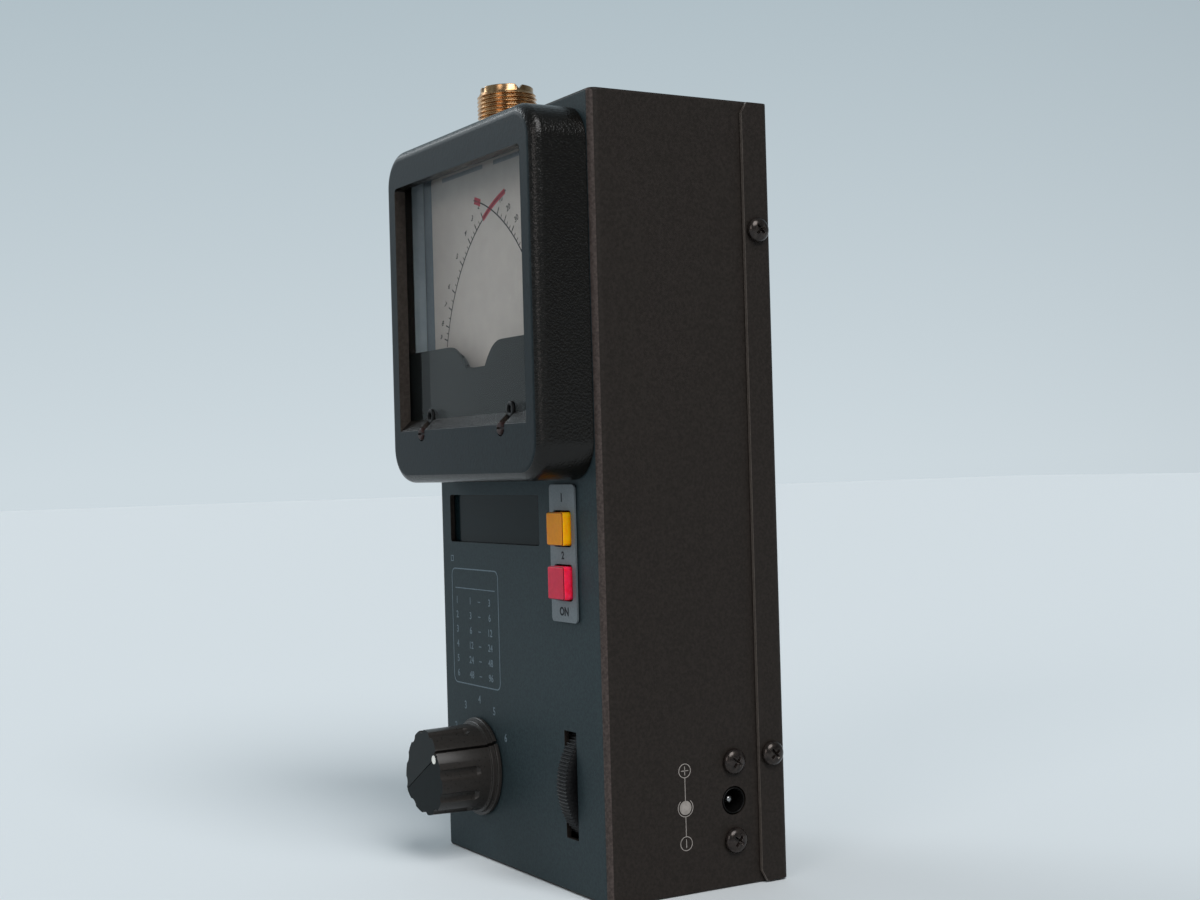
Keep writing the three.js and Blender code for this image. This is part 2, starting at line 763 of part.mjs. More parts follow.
// The mask's upper edge: level shoulders that fall in a double curve to the notch's floor
function maskOutline() {
  const half = bezelInner - seatGap;
  const low = meterLow + meterWall + seatGap;
  const middle = (maskShoulder + maskNotchFloor) / 2;
  const bend = (maskShoulderHalf - maskNotchHalf) / 2;
  const outline = new THREE.Shape();
  outline.moveTo(-half + meterCorner, low);
  outline.lineTo(half - meterCorner, low);
  outline.lineTo(half, low + meterCorner);
  outline.lineTo(half, maskShoulder);
  outline.lineTo(maskShoulderHalf, maskShoulder);
  outline.quadraticCurveTo(maskNotchHalf + bend, maskShoulder, maskNotchHalf + bend / 2, middle);
  outline.lineTo(maskNotchHalf, maskNotchFloor);
  outline.lineTo(-maskNotchHalf, maskNotchFloor);
  outline.lineTo(-maskNotchHalf - bend / 2, middle);
  outline.quadraticCurveTo(-maskNotchHalf - bend, maskShoulder, -maskShoulderHalf, maskShoulder);
  outline.lineTo(-half, maskShoulder);
  outline.lineTo(-half, low + meterCorner);
  outline.closePath();
  return outline;
}

function dialMask() {
  let mask = slab(maskOutline(), maskFront, maskFront + maskSheet, 4);
  for (const side of [-1, 1]) {
    const hole = rod(adjuster.shaft + runGap, maskFront - overrun, maskFront + maskSheet + overrun);
    mask = mask.subtract(turnedY(hole, side * adjusterX, adjusterZ, 16));
  }
  return mask;
}

// The dial stands over the movements and is cut away in an arch round each pivot
function dialPlate() {
  const half = bezelInner - seatGap;
  const high = meterHigh - meterWall - seatGap;
  const archRadius = yoke.outer + overrun;
  const corner = meterCorner - meterWall;
  let dial = slab(roundedRectangle(-half, dialLow, half, high, corner), dialFront, dialFront + dialSheet);
  for (const side of [-1, 1]) {
    const [front, back] = [dialFront - overrun, dialFront + dialSheet + overrun];
    const [left, right] = [side * pivotX - archRadius, side * pivotX + archRadius];
    dial = dial
      .subtract(turnedY(rod(archRadius, front, back), side * pivotX, pivotZ))
      .subtract(block(left, right, front, back, dialLow - overrun, pivotZ));
  }
  return dial;
}

function meterBase() {
  const half = bezelInner - seatGap;
  const low = meterLow + meterWall + seatGap;
  const high = meterHigh - meterWall - seatGap;
  const outline = roundedRectangle(-half, low, half, high, meterCorner - meterWall);
  let base = slab(outline, baseFront, baseFront + baseSheet)
    .add(block(-tubHalf, tubHalf, baseFront + baseSheet / 2, tubFloor + tub.sheet, tubLow, tubHigh));
  base = base.subtract(
    block(
      -tubHalf + tub.sheet,
      tubHalf - tub.sheet,
      baseFront - overrun,
      tubFloor,
      tubLow + tub.sheet,
      tubHigh - tub.sheet,
    ),
  );
  for (const side of [-1, 1]) {
    const length = rod(stud.radius, baseFront + baseSheet / 2, panelBack + stud.reach);
    base = base.add(turnedY(length, side * studX, studZ, 12));
  }
  return base;
}

function meterNut(side) {
  const [front, back] = [panelBack + seatGap, panelBack + seatGap + stud.nutHeight];
  return hexNut(stud.radius, stud.nut, front, back, side * studX, studZ);
}

add('meter_bezel', meterBezel(), blackMoulding);
add('meter_window', meterWindow(), clearPlastic);
add('dial_mask', dialMask(), blackMoulding);
add('dial_plate', dialPlate(), dialWhite);
add('meter_base', meterBase(), blackMoulding);
add('meter_nut_left', meterNut(-1), brass);
add('meter_nut_right', meterNut(1), brass);

// Meter movements: side -1 stands left of the middle, seen from the front

// Angles in the dial plane are counterclockwise from +X for side -1 and mirrored for side 1
const coilAcross = needleRest + quarterTurn;
const webDirection = needleRest + needleSweep / 2;

function turnedAbout(solid, angle, side) {
  const degrees = THREE.MathUtils.radToDeg(angle);
  const turned = solid.rotate([0, -degrees, 0]);
  const faced = side < 0 ? turned : turned.mirror([1, 0, 0]);
  return faced.translate([side * pivotX, 0, pivotZ]);
}

// The yoke ring carries the magnet core on two webs, and the front bridge on two legs
function movementFrame(side) {
  const yokeFront = frontFace + yoke.front;
  const yokeBack = tubFloor - seatGap;
  const [coreFront, coreBack] = [frontFace + core.front, frontFace + core.back];
  const web = webWidth / 2;
  const bridgeFront = frontFace + bridge.front;
  const bridgeBack = bridgeFront + bridge.sheet;
  const middle = (yoke.inner + yoke.outer) / 2;
  const magnet = turnedY(rod(core.radius, coreFront, coreBack), 0, 0)
    .add(block(-middle, middle, coreFront, coreBack, -web, web));
  const half = bridge.width / 2;
  let arch = block(-yoke.outer, yoke.outer, bridgeFront, bridgeBack, -half, half);
  for (const end of [-1, 1]) {
    const [near, far] = end < 0 ? [-yoke.outer, -bridge.legInner] : [bridge.legInner, yoke.outer];
    arch = arch.add(block(near, far, bridgeFront, yokeFront + overrun, -half, half));
  }
  arch = arch
    .intersect(turnedY(rod(yoke.outer, bridgeFront - overrun, yokeBack), 0, 0))
    .subtract(turnedY(rod(staffRadius + runGap, bridgeFront - overrun, bridgeBack + overrun), 0, 0, 12));
  const outer = turnedY(ring(yoke.inner, yoke.outer, yokeFront, yokeBack), 0, 0);
  const inner = magnet.add(arch.rotate([0, 90, 0]));
  return turnedAbout(outer.add(inner), webDirection, side);
}

// A closed rectangular coil round the core, with a staff that carries the needle
function movingCoil(side) {
  const half = coil.width / 2;
  const front = frontFace + core.front - runGap - coil.sheet;
  const back = frontFace + core.back + runGap + coil.sheet;
  const frame = block(-coil.outer, coil.outer, front, back, -half, half)
    .subtract(block(-coil.inner, coil.inner, front + coil.sheet, back - coil.sheet, -coil.width, coil.width));
  const tail = tubFloor - seatGap;
  const staff = turnedY(rod(staffRadius, needlePlane(side), front + coil.sheet / 2), 0, 0, 12)
    .add(turnedY(rod(staffRadius, back - coil.sheet / 2, tail), 0, 0, 12));
  return turnedAbout(frame.add(staff), coilAcross, side);
}

// Front face of a needle: the left one passes in front of the right one
function needlePlane(side) {
  const leftPlane = maskFront + maskSheet + runGap;
  return side < 0 ? leftPlane : leftPlane + needleSpacing;
}

function needle(side) {
  const front = needlePlane(side);
  const back = front + needleSheet;
  const outline = polygon([
    [-needleTail, -needleRoot],
    [0, -needleRoot / 2],
    [needleReach, -needleTip / 2],
    [needleReach, needleTip / 2],
    [0, needleRoot / 2],
    [-needleTail, needleRoot],
  ]);
  const hub = turnedY(rod(hubRadius, front, front + 2 * needleSheet), 0, 0, 16);
  const hole = rod(staffRadius + seatGap, front - overrun, front + needleSpacing);
  const pointer = slab(outline, front, back).add(hub).subtract(turnedY(hole, 0, 0, 12));
  return turnedAbout(pointer, needleRest, side);
}

function zeroAdjuster(side) {
  const front = meterFace - adjuster.proud;
  const headBack = glassFront - seatGap;
  const profile = [
    [0, front],
    [adjuster.head, front],
    [adjuster.head, headBack],
    [adjuster.shaft, headBack],
    [adjuster.shaft, baseFront - seatGap],
    [0, baseFront - seatGap],
  ];
  const half = adjuster.slot / 2;
  const slot = block(-adjuster.head * 2, adjuster.head * 2, front - overrun, front + adjuster.slotDepth, -half, half);
  return turnedY(profile, 0, 0, 16).subtract(slot).translate([side * adjusterX, 0, adjusterZ]);
}

for (const side of [-1, 1]) {
  const word = side < 0 ? 'left' : 'right';
  add(`movement_frame_${word}`, movementFrame(side), steel);
  add(`moving_coil_${word}`, movingCoil(side), copper);
  add(`needle_${word}`, needle(side), blackSteel);
  add(`zero_adjuster_${word}`, zeroAdjuster(side), brownAdjuster);
}

// Display

function displayFilter() {
  const grow = filterOverlap;
  const [left, right] = [displayLeft - grow, displayRight + grow];
  const outline = roundedRectangle(left, displayLow - grow, right, displayHigh + grow, displayCorner);
  return slab(outline, panelBack + seatGap, panelBack + seatGap + filterSheet);
}

// The module's frame stands on the main board, its glass sunk behind the frame's rim
function displayModule() {
  const [left, right] = [displayLeft - moduleOverlap, displayRight + moduleOverlap];
  const [low, high] = [displayLow - moduleOverlap, displayHigh + moduleOverlap];
  const front = panelBack + seatGap + filterSheet + seatGap;
  const back = boardFront - seatGap;
  const glass = [front - overrun, front + moduleRecess, low + moduleRim, high - moduleRim];
  return block(left, right, front, back, low, high)
    .subtract(block(left + moduleRim, right - moduleRim, ...glass));
}

add('display_filter', displayFilter(), smokedPlastic);
add('display_module', displayModule(), steel);

// Buttons

const plateFront = frontFace - seatGap - plate.sheet;

function buttonPlate() {
  const [left, right] = [buttonX - plateHalf, buttonX + plateHalf];
  const outline = roundedRectangle(left, plateLow, right, plateHigh, plate.corner);
  outline.holes.push(buttonHole(gateButtonZ), buttonHole(powerButtonZ));
  return slab(outline, plateFront, plateFront + plate.sheet, 2);
}

function buttonCap(z) {
  const half = buttonSize / 2;
  const front = frontFace - buttonProud;
  const outline = roundedRectangle(buttonX - half, z - half, buttonX + half, z + half, buttonCorner);
  const stem = rod(stemRadius, front + buttonDepth - overrun, front + buttonDepth + stemLength);
  return slab(outline, front, front + buttonDepth, 3).add(turnedY(stem, buttonX, z, 16));
}

// The switch stands on the board and takes the cap's stem in its bore
function pushSwitch(z) {
  const half = switchSize / 2;
  const stemEnd = frontFace - buttonProud + buttonDepth + stemLength;
  const front = frontFace - buttonProud + buttonDepth + buttonTravel + runGap;
  const floor = stemEnd + buttonTravel + runGap;
  const body = block(buttonX - half, buttonX + half, front, boardFront - seatGap, z - half, z + half);
  return body.subtract(turnedY(rod(stemRadius + runGap, front - overrun, floor), buttonX, z, 16));
}

add('button_plate', buttonPlate(), silverPlate);
add('gate_button', buttonCap(gateButtonZ), orangeCap);
add('power_button', buttonCap(powerButtonZ), redCap);
add('gate_switch', pushSwitch(gateButtonZ), blackMoulding);
add('power_switch', pushSwitch(powerButtonZ), blackMoulding);

// Main board

const spacerX = boardHalf - spacer.inset;
const spacerPlaces = {
  board_spacer_lower_left: [-spacerX, board.bottom + spacer.inset],
  board_spacer_lower_right: [spacerX, board.bottom + spacer.inset],
  board_spacer_upper_left: [-spacerX, boardHigh - spacer.inset],
  board_spacer_upper_right: [spacerX, boardHigh - spacer.inset],
};

function mainBoard() {
  const outline = roundedRectangle(-boardHalf, board.bottom, boardHalf, boardHigh, board.corner);
  for (const [x, z] of Object.values(spacerPlaces)) {
    const hole = new THREE.Path();
    hole.absarc(x, z, spacer.bore + holeGap, 0, 2 * Math.PI);
    outline.holes.push(hole);
  }
  return slab(outline, boardFront, boardFront + board.sheet);
}

function boardSpacer([x, z]) {
  const [front, back] = [panelBack + seatGap, boardFront - seatGap];
  const drilled = turnedY(rod(spacer.bore, back - boardStandoff / 2, back + overrun), x, z, 12);
  return turnedY(rod(spacer.radius, front, back), x, z, 6).subtract(drilled);
}

add('main_board', mainBoard(), greenBoard);
for (const [name, place] of Object.entries(spacerPlaces)) add(name, boardSpacer(place), brass);

// Band switch and knob

function bandSwitchBody() {
  const { body, depth, bushing, bushingReach } = bandSwitch;
  const front = panelBack + seatGap;
  const profile = [
    [0, front + depth],
    [body, front + depth],
    [body, front],
    [bushing, front],
    [bushing, frontFace - bushingReach],
    [0, frontFace - bushingReach],
  ];
  const bore = rod(knobShaft.radius + runGap, frontFace - bushingReach - overrun, frontFace + knobShaft.tail + runGap);
  return turnedY(profile, knobX, knobZ).subtract(turnedY(bore, knobX, knobZ));
}

function bandSwitchNut() {
  const back = frontFace - seatGap;
  return hexNut(bandSwitch.bushing, bandSwitch.nut, back - bandSwitch.nutHeight, back, knobX, knobZ);
}

// The face falls away from a crest that runs along the pointer
function facetCut(side) {
  const size = 4 * knob.root;
  const tool = block(-size, size, -size, 0, 0, size);
  const degrees = THREE.MathUtils.radToDeg(facetSlope);
  const tilted = tool.rotate([-degrees, 0, 0]);
  return side > 0 ? tilted : tilted.mirror([0, 0, 1]);
}

// A shallow groove in the knob's side, open at the face and closed before the skirt
function fluteCutter(face) {
  const aside = knob.tip - flute.depth + flute.radius;
  return turnedY(rod(flute.radius, face - overrun, face + flute.length), aside, 0);
}

function bandKnob() {
  const back = frontFace - knob.lift;
  const stepBack = back - knob.skirtHeight;
  const bodyBack = stepBack - knob.stepHeight;
  const face = frontFace - knob.face;
  const profile = [
    [0, back],
    [knob.skirt, back],
    [knob.skirt, stepBack],
    [knob.skirtStep, stepBack],
    [knob.skirtStep, bodyBack],
    [knob.root, bodyBack],
    [knob.tip, face],
    [0, face],
  ];
  let body = turnedY(profile, 0, 0, knobSegments);
  for (let place = 1; place < flutePlaces; place += 1) {
    body = body.subtract(fluteCutter(face).rotate([0, (360 * place) / flutePlaces, 0]));
  }
  const crest = [0, face, 0];
  body = body.subtract(facetCut(1).translate(crest)).subtract(facetCut(-1).translate(crest));
  const groove = block(
    knob.tip - pointerDepth,
    2 * knob.skirt,
    face - overrun,
    back + overrun,
    -pointerWidth / 2,
    pointerWidth / 2,
  );
  body = body.subtract(groove);
  body = body.subtract(turnedY(rod(knob.cavity, back - knob.cavityDepth, back + overrun), 0, 0));
  const boreEnd = frontFace - knobShaft.reach - seatGap;
  body = body.subtract(turnedY(rod(knobShaft.radius + seatGap, boreEnd, back + overrun), 0, 0));
  const fromSide = THREE.MathUtils.radToDeg(pointerTurn) - 90;
  return body.rotate([0, fromSide, 0]).translate([knobX, 0, knobZ]);
}

function bandSwitchShaft() {
  return turnedY(rod(knobShaft.radius, frontFace - knobShaft.reach, frontFace + knobShaft.tail), knobX, knobZ);
}

add('band_knob', bandKnob(), blackMoulding);
add('band_switch_shaft', bandSwitchShaft(), steel);
add('band_switch', bandSwitchBody(), steel);
add('band_switch_nut', bandSwitchNut(), brass);

// Tuning wheel and capacitor

const wheelLeft = wheelX - wheel.thickness / 2;
const wheelRight = wheelX + wheel.thickness / 2;
const bracketRight = wheelLeft - 2 * runGap;
const bracketLeft = bracketRight - bracket.sheet;
const capacitorRight = bracketLeft - seatGap;

// One row of teeth round the rim, cut back at both edges
function knurlRing(radius, depth, x) {
  const points = [];
  for (let i = 0; i < knurlCount * 2; i += 1) {
    const angle = (Math.PI * i) / knurlCount;
    const reach = i % 2 ? radius : radius - depth;
    points.push(new THREE.Vector3(x, reach * Math.sin(angle), reach * Math.cos(angle)));
  }
  return points;
}

function tuningWheel() {
  const edge = wheel.radius - wheel.edge;
  const rim = loft([
    knurlRing(edge, 0, wheelLeft),
    knurlRing(wheel.radius, knurlDepth, wheelLeft + wheel.edge),
    knurlRing(wheel.radius, knurlDepth, wheelRight - wheel.edge),
    knurlRing(edge, 0, wheelRight),
  ]);
  const dish = wheel.radius * wheelDishShare;
  const webSide = wheel.web / 2;
  return rim
    .translate([0, wheelY, wheel.z])
    .subtract(turnedX(ring(wheel.hub, dish, wheelLeft - overrun, wheelX - webSide), wheelY, wheel.z, 32))
    .subtract(turnedX(ring(wheel.hub, dish, wheelX + webSide, wheelRight + overrun), wheelY, wheel.z, 32))
    .subtract(turnedX(rod(tuningShaft.radius + seatGap, wheelLeft - overrun, wheelRight + overrun), wheelY, wheel.z));
}

const wheelDishShare = 0.8;

function tuningShaftSolid() {
  return turnedX(rod(tuningShaft.radius, capacitorRight - tuningShaft.tail, wheelRight), wheelY, wheel.z);
}

function tuningCapacitor() {
  const half = capacitor.size / 2;
  const outline = roundedRectangle(wheelY - half, wheel.z - half, wheelY + half, wheel.z + half, capacitor.corner);
  const bore = rod(tuningShaft.radius + runGap, capacitorRight - tuningShaft.tail - runGap, capacitorRight + overrun);
  return crossBar(outline, capacitorRight - capacitor.thickness, capacitorRight)
    .subtract(turnedX(bore, wheelY, wheel.z));
}

// An angle bracket whose foot lies on the panel's back
function tuningBracket() {
  const front = panelBack + seatGap;
  const [low, high] = [wheel.z - bracket.halfHeight, wheel.z + bracket.halfHeight];
  const upright = block(bracketLeft, bracketRight, front, frontFace + bracket.back, low, high);
  const foot = block(bracketLeft - bracket.foot, bracketRight, front, front + bracket.sheet, low, high);
  const hole = rod(tuningShaft.radius + runGap, bracketLeft - overrun, bracketRight + overrun);
  return upright.add(foot).subtract(turnedX(hole, wheelY, wheel.z));
}

add('tuning_wheel', tuningWheel(), blackMoulding);
add('tuning_shaft', tuningShaftSolid(), steel);
add('tuning_capacitor', tuningCapacitor(), whiteNylon);
add('tuning_bracket', tuningBracket(), steel);

// Battery pack

const holderBack = rearFace - coverSheet - seatGap;
const cellY = holderBack - holder.wall - seatGap - cell.radius;
const bayHeight = cell.length + 2 * cellEndGap;
const holderHeight = cellRows * bayHeight + (cellRows + 1) * holder.wall;
const holderLow = caseHeight - holder.top - holderHeight;

function batteryHolder() {
  const innerHalf = ((cellColumns - 1) * cellPitch) / 2 + cell.radius + seatGap;
  const outerHalf = innerHalf + holder.wall;
  const front = cellY - cell.radius / 2;
  let tray = block(-outerHalf, outerHalf, front, holderBack, holderLow, holderLow + holderHeight);
  for (let row = 0; row < cellRows; row += 1) {
    const low = holderLow + holder.wall + row * (bayHeight + holder.wall);
    const bay = block(-innerHalf, innerHalf, front - overrun, holderBack - holder.wall, low, low + bayHeight);
    tray = tray.subtract(bay);
  }
  return tray;
}

function batteryCell(column, row) {
  const x = (column - (cellColumns - 1) / 2) * cellPitch;
  const low = holderLow + holder.wall + row * (bayHeight + holder.wall) + cellEndGap;
  const profile = [
    [0, 0],
    [cell.radius - cell.edge, 0],
    [cell.radius, cell.edge],
    [cell.radius, cell.length - cell.nubHeight - cell.edge],
    [cell.radius - cell.edge, cell.length - cell.nubHeight],
    [cell.nub, cell.length - cell.nubHeight],
    [cell.nub, cell.length],
    [0, cell.length],
  ];
  const upright = (column + row) % 2 === 0;
  const placed = upright ? profile : profile.map(([radius, along]) => [radius, cell.length - along]).reverse();
  return turnedZ(placed, x, cellY, 14).translate([0, 0, low]);
}

add('battery_holder', batteryHolder(), blackMoulding);
for (let row = 0; row < cellRows; row += 1) {
  for (let column = 0; column < cellColumns; column += 1) {
    add(`battery_cell_${row * cellColumns + column + 1}`, batteryCell(column, row), cellJacket);
  }
}

// Power jack

const earRight = sideInner - seatGap;
const earLeft = earRight - jack.earSheet;
const jackLeft = earRight - jack.length;

function powerJack() {
  const half = jack.block / 2;
  const earHalf = jack.ears / 2;
  const [front, back] = [jackY - jack.earWidth / 2, jackY + jack.earWidth / 2];
  let body = block(jackLeft, earRight, jackY - half, jackY + half, jackZ - half, jackZ + half)
    .add(block(earLeft, earRight, front, back, jackZ - earHalf, jackZ + earHalf))
    .add(turnedX(rod(jack.collar, earLeft, halfWidth), jackY, jackZ));
  body = body
    .subtract(turnedX(rod(jack.bore, halfWidth - jack.boreDepth, halfWidth + overrun), jackY, jackZ))
    .subtract(turnedX(rod(jackPin.radius + holeGap, jackLeft - overrun, halfWidth), jackY, jackZ, 12));
  for (const step of [-1, 1]) {
    const hole = rod(jackScrew.shank + holeGap, earLeft - overrun, earRight + overrun);
    body = body.subtract(turnedX(hole, jackY, jackZ + step * jackScrewSpread, 12));
  }
  return body;
}

function powerJackPin() {
  const profile = rod(jackPin.radius, jackLeft - jackPin.tail, halfWidth - jackPin.recess);
  return turnedX(profile, jackY, jackZ, 16);
}

add('power_jack', powerJack(), blackMoulding);
add('power_jack_pin', powerJackPin(), steel);
screwLevels.forEach((level, i) => {
  const z = jackZ + (2 * i - 1) * jackScrewSpread;
  addScrew(`jack_screw_${level}`, jackScrew, headRight, [halfWidth + seatGap, jackY, z], blackSteel);
});

export default analyzer;
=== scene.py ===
"""Looks of the hand-held antenna analyzer, drawn over its CAD pieces.

Sizes are in millimetres in the part's frame: +Z is up and the front faces -Y.
"""

from math import cos, pi, radians, sin, tan

import bmesh
import bpy
from mathutils import Matrix, Vector


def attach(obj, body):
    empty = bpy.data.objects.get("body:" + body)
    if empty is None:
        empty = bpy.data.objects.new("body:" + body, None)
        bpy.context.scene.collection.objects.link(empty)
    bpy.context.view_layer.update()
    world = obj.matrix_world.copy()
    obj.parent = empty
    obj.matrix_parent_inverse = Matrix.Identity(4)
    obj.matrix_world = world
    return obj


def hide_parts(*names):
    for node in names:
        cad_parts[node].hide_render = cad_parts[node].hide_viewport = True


MM = 0.001
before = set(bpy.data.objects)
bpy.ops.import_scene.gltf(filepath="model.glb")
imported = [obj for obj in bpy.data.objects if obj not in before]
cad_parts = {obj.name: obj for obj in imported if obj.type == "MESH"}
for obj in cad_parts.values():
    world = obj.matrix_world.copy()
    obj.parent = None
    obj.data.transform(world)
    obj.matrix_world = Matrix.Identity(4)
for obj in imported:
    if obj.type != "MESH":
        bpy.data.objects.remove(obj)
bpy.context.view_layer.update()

# General
WELD = 1e-6  # metres
LEAST_ROUGHNESS = 0.02
OVERRUN = 1  # how far a cutting tool passes a face
SEAT_GAP = 0.25  # between pieces that rest on each other
SCREW_HOLE = 1.8
EDGE = 0.15
MOULDED_EDGE = 0.25
TRIM_EDGE = 0.1
FINE_EDGE = 0.08
CONTACT_EDGE = 0.06
JACK_EDGE = 0.05
PRINT_GAP = 0.005  # between print and its surface
CASE_LIFT = 0.03
DIAL_LIFT = 0.04
SIDES = ((-1, "left"), (1, "right"))
CORNERS = ((-1, -1), (1, -1), (1, 1), (-1, 1))

# Case
CASE_HALF = 43
CASE_FRONT = -24.5
CASE_REAR = 24.5
CASE_HEIGHT = 187
SHEET = 1.2
FRONT_BEND = 2.3
END_BEND = 0.8
SHELL_BACK = 23.25
LONG_BACK = 3 * CASE_REAR  # cut off later at SHELL_BACK
PANEL_BACK = CASE_FRONT + SHEET
COVER_SHEET = 1
COVER_BEND = 1.6
COVER_INNER = 43.2
COVER_OUTER = COVER_INNER + COVER_SHEET
COVER_BACK = CASE_REAR - COVER_SHEET
COVER_FLANGE = 7.7
COVER_FRONT = CASE_REAR - COVER_FLANGE
COVER_INSET = 0.4
COVER_CUT = (1.5, 2.5)
COVER_SCREW_Y = 20.2
COVER_SCREW_LEVELS = (30.7, 155.9)

# Where long cutting tools start and end
REAR_CUT = ((-90, SHELL_BACK, -5), (90, 120, CASE_HEIGHT + 5))
WEDGE_CUT = (-60, 60)
COVER_SCREW_CUT = (-50, 50)
KNOB_CUT = (-30, -20)
CONNECTOR_CUT = (180, 190)
FLANGE_CUT = (180, 200)
JACK_CUT = (40, 45)
EARS_CUT = (35, 45)

# Screw heads
DOME_STEPS = 9
DOME_RIM = 0.2  # share of the height where the dome starts
DOME_POWER = 0.85  # under 1, so that the dome is full
RECESS = ((-1.15, 0.45, 0.22), (0.3, 1.1, 0.38))  # level, share of the arm, half width
FULL_SPIN = 90  # a cross recess looks the same after this turn
SPIN_STEP = 37

# Meter
METER_FACE = CASE_FRONT - 14.3
METER_BACK = CASE_FRONT - SEAT_GAP
METER_HALF = 41.2
METER_LOW = 97.288
METER_HIGH = 184
METER_CORNER = 9.3
METER_FILLET = 2.9
METER_WALL = 2.4
METER_FRAME = 3
FRAME_BACK = METER_FACE + METER_FRAME
WINDOW_HALF = 35.05
WINDOW_LOW = METER_LOW + 13.4
WINDOW_HIGH = METER_HIGH - 9.7
WINDOW_CORNER = 1.2
LIP = 2.9
LIP_ROOT = 0.01  # the lip's cut ends this far behind the frame
GLASS = 2
GLASS_FRONT = FRAME_BACK + SEAT_GAP
GLASS_OVERLAP = 2.4
PIVOT_X = 21.506
PIVOT_Z = METER_LOW + 23.2
ADJUSTER_X = PIVOT_X + 0.6
ADJUSTER_Z = METER_LOW + 12.5
ADJUSTER_FRONT = METER_FACE - 0.4
ADJUSTER = ((1.25, 0), (1.55, 0.3), (1.55, 3.15), (0.9, 3.15), (0.9, 12))  # radius, depth
ADJUSTER_SLOT = (3, 0.8, 0.3)  # half length, depth, half width
SLOT_TOP = METER_LOW + 17
SLOT_RADIUS = 1.85
SLOT_ROUND = 0.99  # just under half the slot, so that its corners don't meet
COLLAR_LIFT = 0.05
COLLAR_STEP = 0.5
COLLAR_OUTER = ((1.95, COLLAR_LIFT), (1.95, COLLAR_STEP), (1.7, 0.75))  # radius, height before the glass
COLLAR_INNER = ((1.1, 0.75), (0.85, COLLAR_STEP), (0.85, COLLAR_LIFT))
STEM_HALF = 1.3
STEM_LEVELS = (ADJUSTER_Z + 1.7, SLOT_TOP - 1.2)
MASK_HALF = 38.55
MASK_LOW = METER_LOW + 2.65
MASK_HIGH = METER_LOW + 34.1
MASK_FRONT = METER_FACE + 5.5
MASK_SHEET = 0.6
MASK_HOLE = 1.2
NOTCH_FLOOR = METER_LOW + 28.2
NOTCH_HALF = 5.4
NOTCH_SIDE = 9.6
NOTCH_POWER = 2.4
NOTCH_STEPS = 16

# Dial: arches are half width, top and corner radius
DIAL_FRONT = CASE_FRONT - 3.5
ARCH_LOW = METER_LOW + 15
LINER_OUTER = (38.75, 181.55, 6.85)
LINER_INNER = (38.42, 181.22, 6.52)
LINER_FRONT = DIAL_FRONT - 3.4
LINER_BACK = DIAL_FRONT - 0.1
BORDER_OUTER = (38.4, 181.2, 6.5)
BORDER_INNER = (33.6, 177, 1)
ARC = 49.3
ARC_ENDS = (14, 75)
ARC_LINE = 0.16
MAJOR_TICK = (2, 0.3)  # length, width
MINOR_TICK = (1.1, 0.2)
MAJOR = (16, 20, 25.5, 31, 40.5, 48.5, 54, 59)
MINOR = (18, 22.7, 28.2, 33.3, 35.7, 38.1, 42.5, 44.5, 46.5, 50.3, 52.2, 56.5)
LEFT_NUMBERS = ("9", "8", "7", "6", "5", "4", "3", "2")
RIGHT_NUMBERS = ("80", "70", "60", "50", "40", "30", "20", "10")
NUMBER_GAP = 4.1
NUMBER_HEIGHT = 1.5
NUMBER_TILT = 0.6  # share of the tick's angle that a number leans
RED_ARCS = ((-1, 59, 74.4, 0.7, 16), (1, 70.6, 74.6, 0.9, 8))  # side, start, end, half width, steps
GREY_BARS = ((-26.8, 175.3, -3.4, 176.4), (2.5, 175.3, 26, 176.4))

# Lettering
FONT_SHARE = 1.38  # font size for a figure of height 1
FONT_DEPTH = 0.01
FONT_LIFT = 0.02
THIN = 0.02  # shares of the height by which strokes are thickened
THICK = 0.05

# Connector: profiles are radius and level
CONNECTOR = (-27, -9)
CONNECTOR_AXIS = (*CONNECTOR, 0)
CONNECTOR_TOP = 201.7
CONNECTOR_HOLE = 7.2
THREAD_TOP = 200.1
THREAD_LOW = 189
RIM = ((5.9, 183.8), (5.9, 201.4), (6.2, 201.7), (6.8, 201.7), (7.05, 201.45), (7.05, THREAD_TOP))
NECK = ((7.3, THREAD_LOW), (6.9, 187.3), (6.9, 183.8))
THREAD_RADIUS = 7.94
THREAD_DEPTH = 0.62
THREAD_PITCH = 1.058
THREAD_FADE = 6  # loops over which the thread grows and ends
TURN_LOOPS = 8
RIDGE = (1.25, 0.12)  # steepness and cut of a ridge's flanks
VEE = ((-1.4, 0.3), (0, -1.3), (1.4, 0.3))  # place across, level from the connector's top
VEE_CUT = (-12, 12)
FLANGE_HALF = 12.7
FLANGE_CORNER = 2.2
FLANGE_LOW = 187.25
FLANGE_TOP = 189.15
FLANGE_BORE = 7
FLANGE_PITCH = 9.1
FLANGE_SPOTS = [(CONNECTOR[0] + FLANGE_PITCH * a, CONNECTOR[1] + FLANGE_PITCH * b) for a, b in CORNERS]
INSULATOR_OUTER = ((5.65, 183.8), (5.65, 196.7), (5.35, 197))
INSULATOR_INNER = ((2.9, 197), (2.65, 196.8), (2.65, 183.8))
CONTACT_OUTER = ((1.2, 174.8), (1.2, 183.8), (2.4, 183.8), (2.4, 196.8), (2.2, 197))
CONTACT_INNER = ((2.05, 197), (2, 196.9), (2, 189))
SLIT_SIZES = ((0.25, 4), (4, 0.25))
SLIT_LEVELS = (193, 199)

